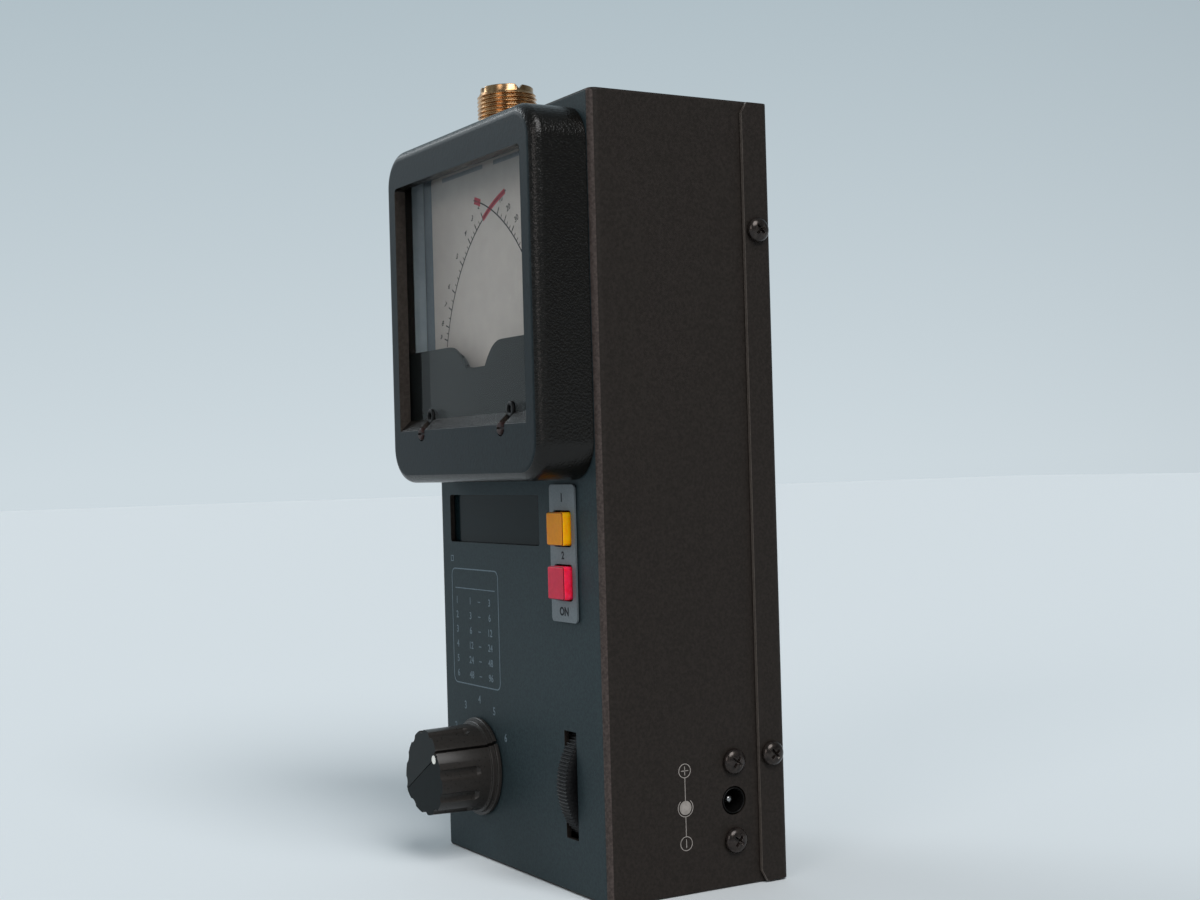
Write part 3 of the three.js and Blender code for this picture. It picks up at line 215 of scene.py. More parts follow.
# Display and buttons: openings are left, low, right, high and corner radius
DISPLAY = (-36.2, 81.388, 13.3, 93.788, 0.8)
BUTTON_X = 26.1
GATE_Z = 85.888
POWER_Z = 73.188
CAP_HALF = 3.9
CAP_PROUD = 2.9
CAP_CORNER = 0.6
CAP_CORNER_LEAST = 0.2
CAP_RINGS = ((1.5, 0.04), (0.42, 0), (0.2, 0.05), (0.05, 0.2), (0, 0.42), (0, 6.4))  # inset, depth
CAP_STEM = (2, 6.3, 9.6)  # radius, start and end behind the face
HOLE_HALF = 4.3
HOLE_CORNER = 0.9
PLATE = (20.1, 63.888, 32.1, 96.288, 1)
PLATE_FRONT = CASE_FRONT - 0.75

# Knob
KNOB = (-21.6, 23.7)
KNOB_BACK = CASE_FRONT - 0.35
KNOB_FACE = CASE_FRONT - 16.95
KNOB_HOLE = 4.7
KNOB_SKIRT = ((12.35, 0), (12.5, 0.15), (12.5, 0.85), (12.35, 1), (11.75, 1.02))  # radius, height
KNOB_STEP = ((11.7, 1.1), (11.7, 1.95), (11.55, 2.1), (11.15, 2.15), (11.05, 2.3))
KNOB_TOP = ((10.72, 0.25), (10.66, 0.1), (10.5, 0))  # radius, depth behind the face
KNOB_BORE = (8.2, 3.25)
KNOB_BORE_DEPTH = 6
SHAFT_END = -38.95
POINTER_TURN = -30  # from +X, seen from the front
GROOVE_TURN = -6  # from the pointer
GROOVE_BOTTOM = 9.6
GROOVE_HALF = 0.42
CREASE_DEPTH = 0.22
CREASE_HALF = 0.13
FLUTE_PLACES = 11  # one of them holds the groove
FLUTE_AXIS = 11.75
FLUTE_RADIUS = 1.8
FLUTE_LENGTH = 11.6
FLUTE_TIP = (1.1, 0.9)  # end radius and length of its slope
FACE_SLOPE = 7
KNOB_SPAN = 40  # half the width of the tools that shape its face
KNOB_REACH = 30
FACE_CUT = 5
DOT_RADIUS = 1.08
DOT_PLACE = 8.6
DOT_DEPTH = 0.4

# Wheel: rim and web as place from the middle, radius and depth of its teeth
WHEEL = (26, -10.4, 25.5)
WHEEL_SLOT = (23.15, 12.83, 28.85, 38.17, 0.25)
WHEEL_RIM = ((2.55, 13.6, 0), (2.55, 16.4, 0), (2.35, 16.7, 0.2), (2.1, 17, 0.5))
WHEEL_WEB = ((1.3, 13.4, 0), (1.3, 5.2, 0), (2.55, 5, 0), (2.55, 3.25, 0))
TEETH = 118
TOOTH_SHARES = (0, 0.06, 0.5, 1, 0.5, 0.06)

# Power jack: profiles are radius and place along X
JACK = (9.9, 20.4)
JACK_HOLE = 3.4
JACK_SCREW_SPREAD = 9.3
JACK_SCREW_LEVELS = (JACK[1] - JACK_SCREW_SPREAD, JACK[1] + JACK_SCREW_SPREAD)
JACK_BARREL = ((5.3, 29.55), (5.3, 41.55), (3.1, 41.55), (3.1, 42.8), (2.95, 43))
JACK_MOUTH = ((2.85, 43), (2.75, 42.9), (2.75, 34))
JACK_BORE = (1.25, 25, 40)  # radius, start and end
JACK_PIN = ((0, 28.05), (0.95, 28.05), (0.95, 40.6), (0.8, 41), (0.5, 41.2), (0, 41.25))
EARS = (39.75, 41.5)
EARS_HALF = (5.5, 12)
EARS_CORNER = 2
EARS_HOLE = 5.25

# Print on the front: frames are left, low, right, high, corner radius and line width
MARK_FRAME = (-36.5, 76.2, -34.9, 77.8, 0.2, 0.25)
TABLE_FRAME = (-36.3, 44.1, -9.35, 74.5, 2, 0.3)
FRAME_CORNER_LEAST = 0.1
HEAD_LINE = (-34.2, 69.15, -11.4, 69.4)
LIMITS = ("1", "3", "6", "12", "24", "48", "96")  # where the six bands start and end
ROW_TOP = 66
ROW_STEP = 3.85
COLUMNS = (-33.4, -25.6, -14.6)
CELL_HEIGHT = 1.9
DASH = (-21.2, -19.8)
DASH_HALF = 0.12
BAND_STEP = 30
BAND_RADIUS = 16.5
BAND_RISE = 0.5
BAND_HEIGHT = 2.1
PLATE_WORDS = (("ON", 2, 66.3), ("1", 2, 93.1), ("2", 1.8, 79.5))  # text, height, level

# Polarity print on the right side
SIDE_PRINT = (CASE_HALF, CASE_HALF + CASE_LIFT)
POLARITY_Y = CASE_FRONT + 20.7
PLUS_Z = 28.9
PIN_Z = 20.3
MINUS_Z = 12
SIGN_RADIUS = 1.7
SIGN_BAR = 0.6  # share of the radius
CUP_RADIUS = 2.15
CUP_GAP = 40
DISC_RADIUS = 1.62
DISC_CENTRE = 0.01
LINE_HALF = 0.09

# Studio
FLOOR_HALF = 6000
FLOOR_DROP = 0.05
SUNS = (
    ("window", (-1, -0.5, 0.6), 28, 0.75, (0.92, 0.97, 1)),
    ("front", (0.5, -0.85, 0.35), 25, 0.48, (1, 0.93, 0.9)),
    ("ceiling", (1, -0.1, 1), 35, 2.2, (1, 1, 1)),
)  # name, side that it shines from, spread in degrees, power, colour
STRENGTH = {"From_Min": 0.2, "From_Max": -0.85, "To_Min": 0.33, "To_Max": 1}
HORIZON_TOP = 0.35
CAMERA_SPOT = (381.23, -222.81, 100.23)
CAMERA_TURN = (59.585, 0.55, -1.559)  # azimuth, pitch and roll
CAMERA_LENS = 51.806
CAMERA_SENSOR = 36
CAMERA_NEAR = 0.01


# Making meshes


def linked(name, data):
    made = bpy.data.objects.new(name, data)
    bpy.context.scene.collection.objects.link(made)
    return made


def mesh_of(name, points, faces):
    mesh = bpy.data.meshes.new(name)
    mesh.from_pydata([tuple(c * MM for c in p) for p in points], [], faces)
    return mesh


def new_piece(name, points, faces):
    mesh = mesh_of(name, points, faces)
    work = bmesh.new()
    work.from_mesh(mesh)
    bmesh.ops.remove_doubles(work, verts=work.verts, dist=WELD)
    bmesh.ops.dissolve_degenerate(work, edges=work.edges, dist=WELD / 10)
    bmesh.ops.recalc_face_normals(work, faces=work.faces)
    work.to_mesh(mesh)
    work.free()
    return linked(name, mesh)


def around(x, y, half_x, half_y=None):
    """Left, low, right and high of a box round its middle."""
    half_y = half_y or half_x
    return x - half_x, y - half_y, x + half_x, y + half_y


def box_outline(left, low, right, high):
    return [(left, low), (right, low), (right, high), (left, high)]


def lofted(name, loops, ring=False):
    """A closed mesh through loops of equally many points; with ring the last loop joins the first."""
    count = len(loops[0])
    points = [p for loop in loops for p in loop]
    faces = []
    for r in range(len(loops) if ring else len(loops) - 1):
        after = (r + 1) % len(loops)
        for i in range(count):
            j = (i + 1) % count
            faces.append((r * count + i, r * count + j, after * count + j, after * count + i))
    if not ring:
        faces.append(tuple(reversed(range(count))))
        faces.append(tuple(range((len(loops) - 1) * count, len(loops) * count)))
    return new_piece(name, points, faces)


def spot_on(axis, u, v, along):
    return {"X": (along, u, v), "Y": (u, along, v), "Z": (u, v, along)}[axis]


def turned(name, profile, centre, axis, steps=48):
    """A profile of (radius, place along the axis) turned round an axis through centre; a profile that
    ends where it starts makes a ring."""
    ring = profile[0] == profile[-1]
    loops = []
    for radius, along in profile[:-1] if ring else profile:
        loop = []
        for i in range(steps):
            a = 2 * pi * i / steps
            spot = spot_on(axis, radius * cos(a), radius * sin(a), along)
            loop.append(tuple(s + c for s, c in zip(spot, centre)))
        loops.append(loop)
    return lofted(name, loops, ring)


def filled(name, profile, centre, axis, steps=48):
    """A turned piece; its profile is closed to the axis at both ends."""
    closed = [(0, profile[0][1]), *profile, (0, profile[-1][1])]
    return turned(name, closed, centre, axis, steps)


def rod(radius, ends, centre, axis, steps=48):
    return filled("rod", [(radius, end) for end in ends], centre, axis, steps)


def drawn(name, outline, ends, axis):
    """An outline in the other two axes, drawn out from end to end along the axis."""
    return lofted(name, [[spot_on(axis, u, v, end) for u, v in outline] for end in ends])


def block(name, low, high):
    return drawn(name, box_outline(*low[:2], *high[:2]), (low[2], high[2]), "Z")


def arc(cx, cy, radius, start, end, steps=8):
    """Points along an arc with both its ends; the angles are degrees."""
    points = []
    for i in range(steps + 1):
        a = radians(start + (end - start) * i / steps)
        points.append((cx + radius * cos(a), cy + radius * sin(a)))
    return points


def rounded(left, low, right, high, radius, steps=8):
    """Points round a rectangle with rounded corners."""
    points = []
    for cx, cy, start in (
        (right - radius, low + radius, -90),
        (right - radius, high - radius, 0),
        (left + radius, high - radius, 90),
        (left + radius, low + radius, 180),
    ):
        points += arc(cx, cy, radius, start, start + 90, steps)
    return points


def slab(name, outline, front, back):
    """An outline in X and Z, filled from y = front to y = back."""
    return drawn(name, outline, (front, back), "Y")


def settle(piece):
    """Applies the piece's modifiers."""
    graph = bpy.context.evaluated_depsgraph_get()
    mesh = bpy.data.meshes.new_from_object(piece.evaluated_get(graph))
    piece.modifiers.clear()
    old = piece.data
    piece.data = mesh
    bpy.data.meshes.remove(old)
    return piece


def cut(piece, *tools):
    """Takes the tools away from the piece, one after the other."""
    for tool in tools:
        modifier = piece.modifiers.new("cut", "BOOLEAN")
        modifier.operation = "DIFFERENCE"
        modifier.solver = "EXACT"
        modifier.object = tool
        settle(piece)
        bpy.data.objects.remove(tool)
    return piece


def soften(piece, width=EDGE, segments=2, angle=35):
    """Rounds the sharp edges a little and shades the rest smooth."""
    piece.data.shade_smooth()
    if width:
        modifier = piece.modifiers.new("edges", "BEVEL")
        modifier.width = width * MM
        modifier.segments = segments
        modifier.limit_method = "ANGLE"
        modifier.angle_limit = radians(angle)
    weighted = piece.modifiers.new("shading", "WEIGHTED_NORMAL")
    weighted.weight = 80
    return settle(piece)


def joined(name, pieces):
    """One object made of several meshes."""
    points, faces = [], []
    for piece in pieces:
        start = len(points)
        points += [tuple(piece.matrix_world @ v.co / MM) for v in piece.data.vertices]
        faces += [tuple(start + i for i in polygon.vertices) for polygon in piece.data.polygons]
        bpy.data.objects.remove(piece)
    return linked(name, mesh_of(name, points, faces))


def dressed(piece, material, *nodes, body="case"):
    """Gives a piece its material and body, and hides the CAD nodes that it stands for."""
    piece.data.materials.clear()
    piece.data.materials.append(material)
    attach(piece, body)
    if nodes:
        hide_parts(*nodes)


def painted(piece, further, choose):
    """Adds materials to a piece; choose gives a face the number of its own by its normal and centre."""
    for material in further:
        piece.data.materials.append(material)
    for polygon in piece.data.polygons:
        polygon.material_index = int(choose(polygon.normal, polygon.center / MM))


# Materials


def srgb(red, green, blue):
    """A screen colour of 0 to 255 per channel as a linear one."""
    linear = []
    for value in (red, green, blue):
        c = value / 255
        linear.append(c / 12.92 if c <= 0.04045 else ((c + 0.055) / 1.055) ** 2.4)
    return (*linear, 1)


def new_material(name):
    made = bpy.data.materials.new(name)
    made.use_nodes = True
    return made, made.node_tree, made.node_tree.nodes["Principled BSDF"]


def feed(node, **values):
    """Sets inputs of a node; the spaces in their names are written as underscores."""
    for socket, value in values.items():
        node.inputs[socket.replace("_", " ")].default_value = value


def finish(
    name, light, dark, roughness, metallic=0, mottle=900, grain=None, bump=0, relief=0.1, spread=0.08, **more
):
    """A surface that varies between two near colours and in roughness, with a grain of bumps."""
    made, tree, shader = new_material(name)
    add, link = tree.nodes.new, tree.links.new
    feed(shader, Metallic=metallic, **more)
    place = add("ShaderNodeTexCoord").outputs["Object"]

    def noise(scale, detail):
        node = add("ShaderNodeTexNoise")
        feed(node, Scale=scale, Detail=detail)
        link(place, node.inputs["Vector"])
        return node.outputs["Fac"]

    ramp = add("ShaderNodeValToRGB")
    first, last = ramp.color_ramp.elements
    first.position = 0.35
    last.position = 0.65
    first.color = srgb(*dark)
    last.color = srgb(*light)
    speckle = noise(mottle, detail=3)
    link(speckle, ramp.inputs["Fac"])
    link(ramp.outputs["Color"], shader.inputs["Base Color"])
    even = add("ShaderNodeMapRange")
    feed(even, To_Min=max(LEAST_ROUGHNESS, roughness - spread), To_Max=min(1, roughness + spread))
    link(speckle, even.inputs["Value"])
    link(even.outputs["Result"], shader.inputs["Roughness"])
    if bump:
        bumps = add("ShaderNodeBump")
        feed(bumps, Strength=bump, Distance=relief * MM)
        link(noise(grain, detail=2), bumps.inputs["Height"])
        link(bumps.outputs["Normal"], shader.inputs["Normal"])
    return made


def clear(name, tint):
    """Clear plastic that bends what is behind it and lets the lamps through, both darkened by its tint."""
    made, tree, shader = new_material(name)
    add, link = tree.nodes.new, tree.links.new
    feed(shader, Base_Color=srgb(*tint), Roughness=0, IOR=1.15, Transmission_Weight=1)
    through = add("ShaderNodeBsdfTransparent")
    feed(through, Color=srgb(*tint))
    mix = add("ShaderNodeMixShader")
    path = add("ShaderNodeLightPath")
    link(path.outputs["Is Shadow Ray"], mix.inputs["Fac"])
    link(shader.outputs["BSDF"], mix.inputs[1])
    link(through.outputs["BSDF"], mix.inputs[2])
    link(mix.outputs["Shader"], tree.nodes["Material Output"].inputs["Surface"])
    return made


MATT = {"Specular_IOR_Level": 0.12}
SPRAYED = {"grain": 2600, "mottle": 1500, **MATT}
PEBBLED = {"grain": 1300, "mottle": 1100, **MATT}
GRAINED = {"grain": 1900, "bump": 1, "relief": 0.14, "spread": 0.03, "Specular_IOR_Level": 0.27}
GLOW = {"Subsurface_Weight": 0.8, "Subsurface_Scale": 3 * MM}

case_side = finish("case_side", (41, 36, 33), (33, 29, 26), 0.5, bump=0.4, **SPRAYED)
# The front edge of the cover's flanges is paler: a bare cut edge, brightened further as a painted highlight.
cover_edge_painted_highlight = finish("cover_edge_painted_highlight", (92, 84, 78), (76, 69, 64), 0.5, mottle=1500)
# The two front bends of the case get a paler copy of the paint: a painted highlight.
case_bend_painted_highlight = finish("case_bend_painted_highlight", (74, 65, 62), (56, 49, 46), 0.4, bump=0.45, **SPRAYED)
# The front faces of the case get a bluish copy of the side paint: painted reflection of the pale studio.
case_front = finish("case_front", (46, 58, 61), (38, 48, 52), 0.55, bump=0.3, **SPRAYED)
bezel_black = finish("bezel_black", (17, 15, 12), (11, 9, 7), 0.24, **GRAINED)
# The side walls of the window opening get a paler copy of the bezel's colour: painted light.
bezel_inner_painted_light = finish("bezel_inner_painted_light", (60, 54, 50), (48, 43, 39), 0.5, mottle=1100, **MATT)
# The bezel's front face gets a bluish copy of its colour: painted reflection of the pale studio.
bezel_face_painted_reflection = finish("bezel_face_painted_reflection", (24, 34, 38), (15, 24, 28), 0.4, bump=0.3, **PEBBLED)
mask_black = finish("mask_black", (27, 35, 36), (23, 30, 31), 0.6, mottle=300, **MATT)
dial_white = finish("dial_white", (210, 203, 197), (204, 197, 191), 0.6, mottle=300)
print_black = finish("print_black", (40, 42, 46), (28, 30, 34), 0.6, **MATT)
dial_edge_blue = finish("dial_edge_blue", (104, 118, 128), (94, 108, 118), 0.6, **MATT)
print_grey = finish("print_grey", (162, 168, 174), (150, 156, 163), 0.6, **MATT)
print_red = finish("print_red", (205, 74, 92), (190, 60, 80), 0.6, **MATT)
print_pale = finish("print_pale", (150, 143, 138), (130, 124, 119), 0.6, **MATT)
print_faint = finish("print_faint", (104, 118, 126), (92, 106, 114), 0.6, **MATT)
needle_black = finish("needle_black", (34, 34, 36), (22, 22, 24), 0.45)
# The window's grey tint darkens the dial and everything behind it: painted shade.
clear_window = clear("clear_window", (221, 221, 220))
liner_pale = finish("liner_pale", (176, 190, 198), (164, 178, 186), 0.5, mottle=300)
smoked = finish("smoked_window", (14, 26, 29), (10, 20, 22), 0.15, spread=0.02, Specular_IOR_Level=0.06)
gold = finish("gold_plate", (202, 164, 122), (162, 122, 84), 0.2, 1, mottle=500, spread=0.05)
steel = finish("nickel_steel", (176, 176, 174), (150, 150, 150), 0.32, 1, mottle=700)
brass = finish("plain_brass", (178, 148, 92), (150, 122, 70), 0.35, 1, mottle=700)
copper = finish("copper_wire", (188, 112, 72), (150, 84, 50), 0.4, 1, mottle=4000, grain=6000, bump=0.4)
screw_black = finish("screw_black", (58, 51, 47), (38, 33, 31), 0.22, 0.6, mottle=1200, spread=0.04)
BRUSHED = {"mottle": 2400, "grain": 4000, "bump": 0.15}
plate_silver = finish("plate_silver", (100, 108, 112), (88, 96, 100), 0.5, 0.2, **BRUSHED)
# Each cap has three colours: its sides, a darker and matte copy on its face that is painted shade, and a
# dark line of painted shade on the chamfer round the face.
cap_orange = finish("cap_orange", (255, 182, 4), (255, 166, 0), 0.2, **GLOW)
cap_orange_face_painted_shade = finish("cap_orange_face_painted_shade", (206, 132, 0), (198, 124, 0), 0.35, **GLOW, **MATT)
cap_orange_chamfer_painted_shade = finish("cap_orange_chamfer_painted_shade", (110, 34, 6), (96, 26, 4), 0.35, **MATT)
cap_red = finish("cap_red", (255, 44, 84), (240, 30, 70), 0.2, **GLOW)
cap_red_face_painted_shade = finish("cap_red_face_painted_shade", (194, 42, 70), (184, 36, 64), 0.35, **GLOW, **MATT)
cap_red_chamfer_painted_shade = finish("cap_red_chamfer_painted_shade", (74, 6, 18), (62, 4, 14), 0.35, **MATT)
knob_black = finish("knob_black", (48, 45, 43), (42, 40, 38), 0.3, mottle=1500, Specular_IOR_Level=0.2)
# The knob's face gets a darker, bluish copy of the knob's colour with less sheen: painted shade and painted
# reflection.
knob_face_painted_shade = finish("knob_face_painted_shade", (23, 29, 30), (16, 21, 22), 0.4, mottle=700, Specular_IOR_Level=0.05)
dot_white = finish("dot_white", (232, 230, 222), (222, 220, 212), 0.4)
wheel_black = finish("wheel_black", (18, 18, 19), (11, 11, 12), 0.45, mottle=1500, **MATT)
jack_black = finish("jack_black", (18, 17, 17), (10, 10, 10), 0.35, mottle=1500, **MATT)
adjuster_brown = finish("adjuster_brown", (52, 35, 33), (36, 24, 23), 0.4, mottle=1500, **MATT)
white_plastic = finish("white_plastic", (222, 218, 206), (206, 202, 190), 0.5)
board_green = finish("board_green", (46, 98, 70), (28, 70, 48), 0.5, mottle=700)
holder_black = finish("holder_black", (40, 40, 40), (26, 26, 26), 0.55, mottle=900)
cell_jacket = finish("cell_jacket", (150, 104, 52), (120, 82, 38), 0.35, 0.5, mottle=300)
dark_inside = finish("dark_inside", (26, 28, 30), (16, 18, 20), 0.7)


# Case


def shell_loop(inset, z):
    half = CASE_HALF - inset
    return [(x, y, z) for x, y in rounded(-half, CASE_FRONT + inset, half, LONG_BACK, FRONT_BEND - inset)]


def panel_hole(opening):
    return slab("hole", rounded(*opening, steps=5), CASE_FRONT - OVERRUN, PANEL_BACK + OVERRUN)


def cap_hole(z):
    return *around(BUTTON_X, z, HOLE_HALF), HOLE_CORNER


def cover_screw_holes():
    return [rod(SCREW_HOLE, COVER_SCREW_CUT, (0, COVER_SCREW_Y, z), "X") for z in COVER_SCREW_LEVELS]


def make_case_shell():
    loops = [shell_loop(inset, z) for inset, z in arc(END_BEND, END_BEND, END_BEND, 270, 180, steps=5)]
    loops += [[(x, y, CASE_HEIGHT - z) for x, y, z in loop] for loop in reversed(loops)]
    shell = lofted("case_shell", loops)
    inner = CASE_HALF - SHEET
    hollow = rounded(-inner, PANEL_BACK, inner, LONG_BACK + CASE_REAR, FRONT_BEND - SHEET)
    tools = [
        drawn("hollow", hollow, (SHEET, CASE_HEIGHT - SHEET), "Z"),
        block("rear", *REAR_CUT),
        panel_hole(DISPLAY),
        panel_hole(cap_hole(GATE_Z)),
        panel_hole(cap_hole(POWER_Z)),
        panel_hole(WHEEL_SLOT),
        rod(KNOB_HOLE, KNOB_CUT, (KNOB[0], 0, KNOB[1]), "Y"),
        rod(CONNECTOR_HOLE, CONNECTOR_CUT, CONNECTOR_AXIS, "Z"),
        rod(JACK_HOLE, JACK_CUT, (0, *JACK), "X"),
    ]
    tools += [rod(SCREW_HOLE, JACK_CUT, (0, JACK[0], z), "X") for z in JACK_SCREW_LEVELS]
    soften(cut(shell, *tools, *cover_screw_holes()))
    dressed(shell, case_side, "front_shell")
    # Front faces get the painted reflection; the two front bends get the painted highlight.
    facing, slanting, skin = -0.97, -0.6, 0.3

    def choose_painted_light(normal, centre):
        if centre.y > CASE_FRONT + FRONT_BEND:
            return 0
        if normal.y < facing and centre.y < CASE_FRONT + skin:
            return 1
        return 2 if normal.y < slanting and abs(centre.x) > CASE_HALF - FRONT_BEND else 0

    painted(shell, (case_front, case_bend_painted_highlight), choose_painted_light)


def make_cover():
    x, y = COVER_OUTER - COVER_BEND, CASE_REAR - COVER_BEND
    outline = [(COVER_INNER, COVER_FRONT), (COVER_OUTER, COVER_FRONT)]
    outline += arc(x, y, COVER_BEND, 0, 90) + arc(-x, y, COVER_BEND, 90, 180)
    outline += [(-COVER_OUTER, COVER_FRONT), (-COVER_INNER, COVER_FRONT)]
    outline += [(-COVER_INNER, COVER_BACK), (COVER_INNER, COVER_BACK)]
    levels = (COVER_INSET, CASE_HEIGHT - COVER_INSET)
    cover = drawn("cover", outline, levels, "Z")
    along, down = COVER_CUT
    tools = []
    for edge, inward in zip(levels, (1, -1)):
        wedge = [
            (COVER_FRONT - OVERRUN, edge - inward * OVERRUN),
            (COVER_FRONT + along, edge - inward * OVERRUN),
            (COVER_FRONT + along, edge),
            (COVER_FRONT, edge + inward * down),
            (COVER_FRONT - OVERRUN, edge + inward * down),
        ]
        tools.append(drawn("wedge", wedge, WEDGE_CUT, "X"))
    cut(cover, *tools, *cover_screw_holes())
    dressed(soften(cover), case_side, "rear_cover")
    # The front edge of each flange gets the painted highlight.
    facing, edge_back = -0.35, COVER_FRONT + along + 0.2
    painted(cover, (cover_edge_painted_highlight,), lambda normal, centre: normal.y < facing and centre.y < edge_back)


# Screws: made with the head up, then turned and placed

TURNS = {
    "up": Matrix.Identity(4),
    "right": Matrix.Rotation(radians(90), 4, "Y"),
    "left": Matrix.Rotation(radians(-90), 4, "Y"),
}


def screw_mesh(head, height, arm, shank, length):
    dome = [(head, 0)]
    for i in range(DOME_STEPS + 1):
        a = radians(90 * i / DOME_STEPS)
        rise = DOME_RIM + (1 - DOME_RIM) * sin(a)
        dome.append((head * cos(a) ** DOME_POWER, height * rise))
    dome[-1] = (0, height)
    screw = turned("screw", [(0, -length), (shank, -length), (shank, 0), *dome], (0, 0, 0), "Z", steps=40)
    for along in (True, False):
        loops = []
        for level, share, half in RECESS:
            z, reach = height + level, arm * share
            loop = box_outline(*around(0, 0, reach, half))
            loops.append([(x, y, z) if along else (-y, x, z) for x, y in loop])
        cut(screw, lofted("cross", loops))
    return soften(screw, FINE_EDGE)


def place_screws(template, turn, spots, material):
    """Copies a screw to each node's spot; every head ends its turn somewhere else."""
    for node, spot in spots.items():
        screw = linked(f"{node}_head", template.data.copy())
        spin = Matrix.Rotation(radians(SPIN_STEP * len(node) % FULL_SPIN), 4, "Z")
        screw.data.transform(Matrix.Translation(Vector(spot) * MM) @ TURNS[turn] @ spin)
        dressed(screw, material, node)


def make_screws():
    cover = screw_mesh(head=2.95, height=1.9, arm=1.7, shank=1.5, length=5.5)
    for sign, side in reversed(SIDES):
        spots = {}
        for z, level in zip(COVER_SCREW_LEVELS, ("lower", "upper")):
            spots[f"cover_screw_{side}_{level}"] = (sign * (COVER_OUTER + SEAT_GAP), COVER_SCREW_Y, z)
        place_screws(cover, side, spots, screw_black)
    jack = screw_mesh(head=3.05, height=1.8, arm=1.7, shank=1.5, length=4.5)
    spots = {}
    for z, level in zip(JACK_SCREW_LEVELS, ("lower", "upper")):
        spots[f"jack_screw_{level}"] = (CASE_HALF + SEAT_GAP, JACK[0], z)
    place_screws(jack, "right", spots, screw_black)
    flange = screw_mesh(head=2.6, height=1.6, arm=1.5, shank=1.5, length=5)
    seat = FLANGE_TOP + SEAT_GAP
    spots = {f"connector_screw_{i + 1}": (*spot, seat) for i, spot in enumerate(FLANGE_SPOTS)}
    place_screws(flange, "up", spots, steel)
    for template in (cover, jack, flange):
        bpy.data.objects.remove(template)


# Connector


def connector_loop(radius_at, z, steps=96):
    points = []
    for i in range(steps):
        a = 2 * pi * i / steps
        radius = radius_at(a)
        points.append((CONNECTOR[0] + radius * cos(a), CONNECTOR[1] + radius * sin(a), z))
    return points


def make_barrel():
    """The threaded shell: loops up the bore, over the rim, down the thread and the neck."""
    loops = [connector_loop(lambda a, radius=radius: radius, z) for radius, z in RIM]
    height = THREAD_TOP - THREAD_LOW
    levels = int(height / THREAD_PITCH * TURN_LOOPS)
    steepness, cut_off = RIDGE
    for k in range(1, levels):
        z = THREAD_TOP - height * k / levels
        ease = min(1, k / THREAD_FADE, (levels - k) / THREAD_FADE)

        def thread(a, z=z, ease=ease):
            phase = (z / THREAD_PITCH - a / (2 * pi)) % 1
            ridge = max(0, min(1, steepness * (1 - abs(2 * phase - 1)) - cut_off))
            return THREAD_RADIUS - THREAD_DEPTH * (1 - ridge * ease)

        loops.append(connector_loop(thread, z))
    loops += [connector_loop(lambda a, radius=radius: radius, z) for radius, z in NECK]
    barrel = lofted("connector_barrel", loops, ring=True)
    for turned_round in (False, True):
        ends = []
        for y in VEE_CUT:
            spots = [(-y, x, z) if turned_round else (x, y, z) for x, z in VEE]
            ends.append([(x + CONNECTOR[0], y + CONNECTOR[1], z + CONNECTOR_TOP) for x, y, z in spots])
        cut(barrel, lofted("vee", ends))
    dressed(soften(barrel, 0), gold, "connector_shell")


def make_connector_fittings():
    x, y = CONNECTOR
    outline = rounded(*around(x, y, FLANGE_HALF), FLANGE_CORNER)
    flange = drawn("connector_flange", outline, (FLANGE_LOW, FLANGE_TOP), "Z")
    holes = [rod(SCREW_HOLE, FLANGE_CUT, (*spot, 0), "Z", steps=32) for spot in FLANGE_SPOTS]
    cut(flange, rod(FLANGE_BORE, FLANGE_CUT, CONNECTOR_AXIS, "Z"), *holes)
    dressed(soften(flange, MOULDED_EDGE), gold)
    ring = (INSULATOR_INNER[-1], *INSULATOR_OUTER, *INSULATOR_INNER)
    insulator = turned("connector_insulator_turned", ring, CONNECTOR_AXIS, "Z", steps=64)
    dressed(soften(insulator, TRIM_EDGE), white_plastic, "connector_insulator")
    contact = filled("connector_contact_turned", CONTACT_OUTER + CONTACT_INNER, CONNECTOR_AXIS, "Z")
    low, high = SLIT_LEVELS
    slits = []
    for half_x, half_y in SLIT_SIZES:
        slits.append(block("slit", (x - half_x, y - half_y, low), (x + half_x, y + half_y, high)))
    dressed(soften(cut(contact, *slits), CONTACT_EDGE), gold, "connector_contact")


# Meter


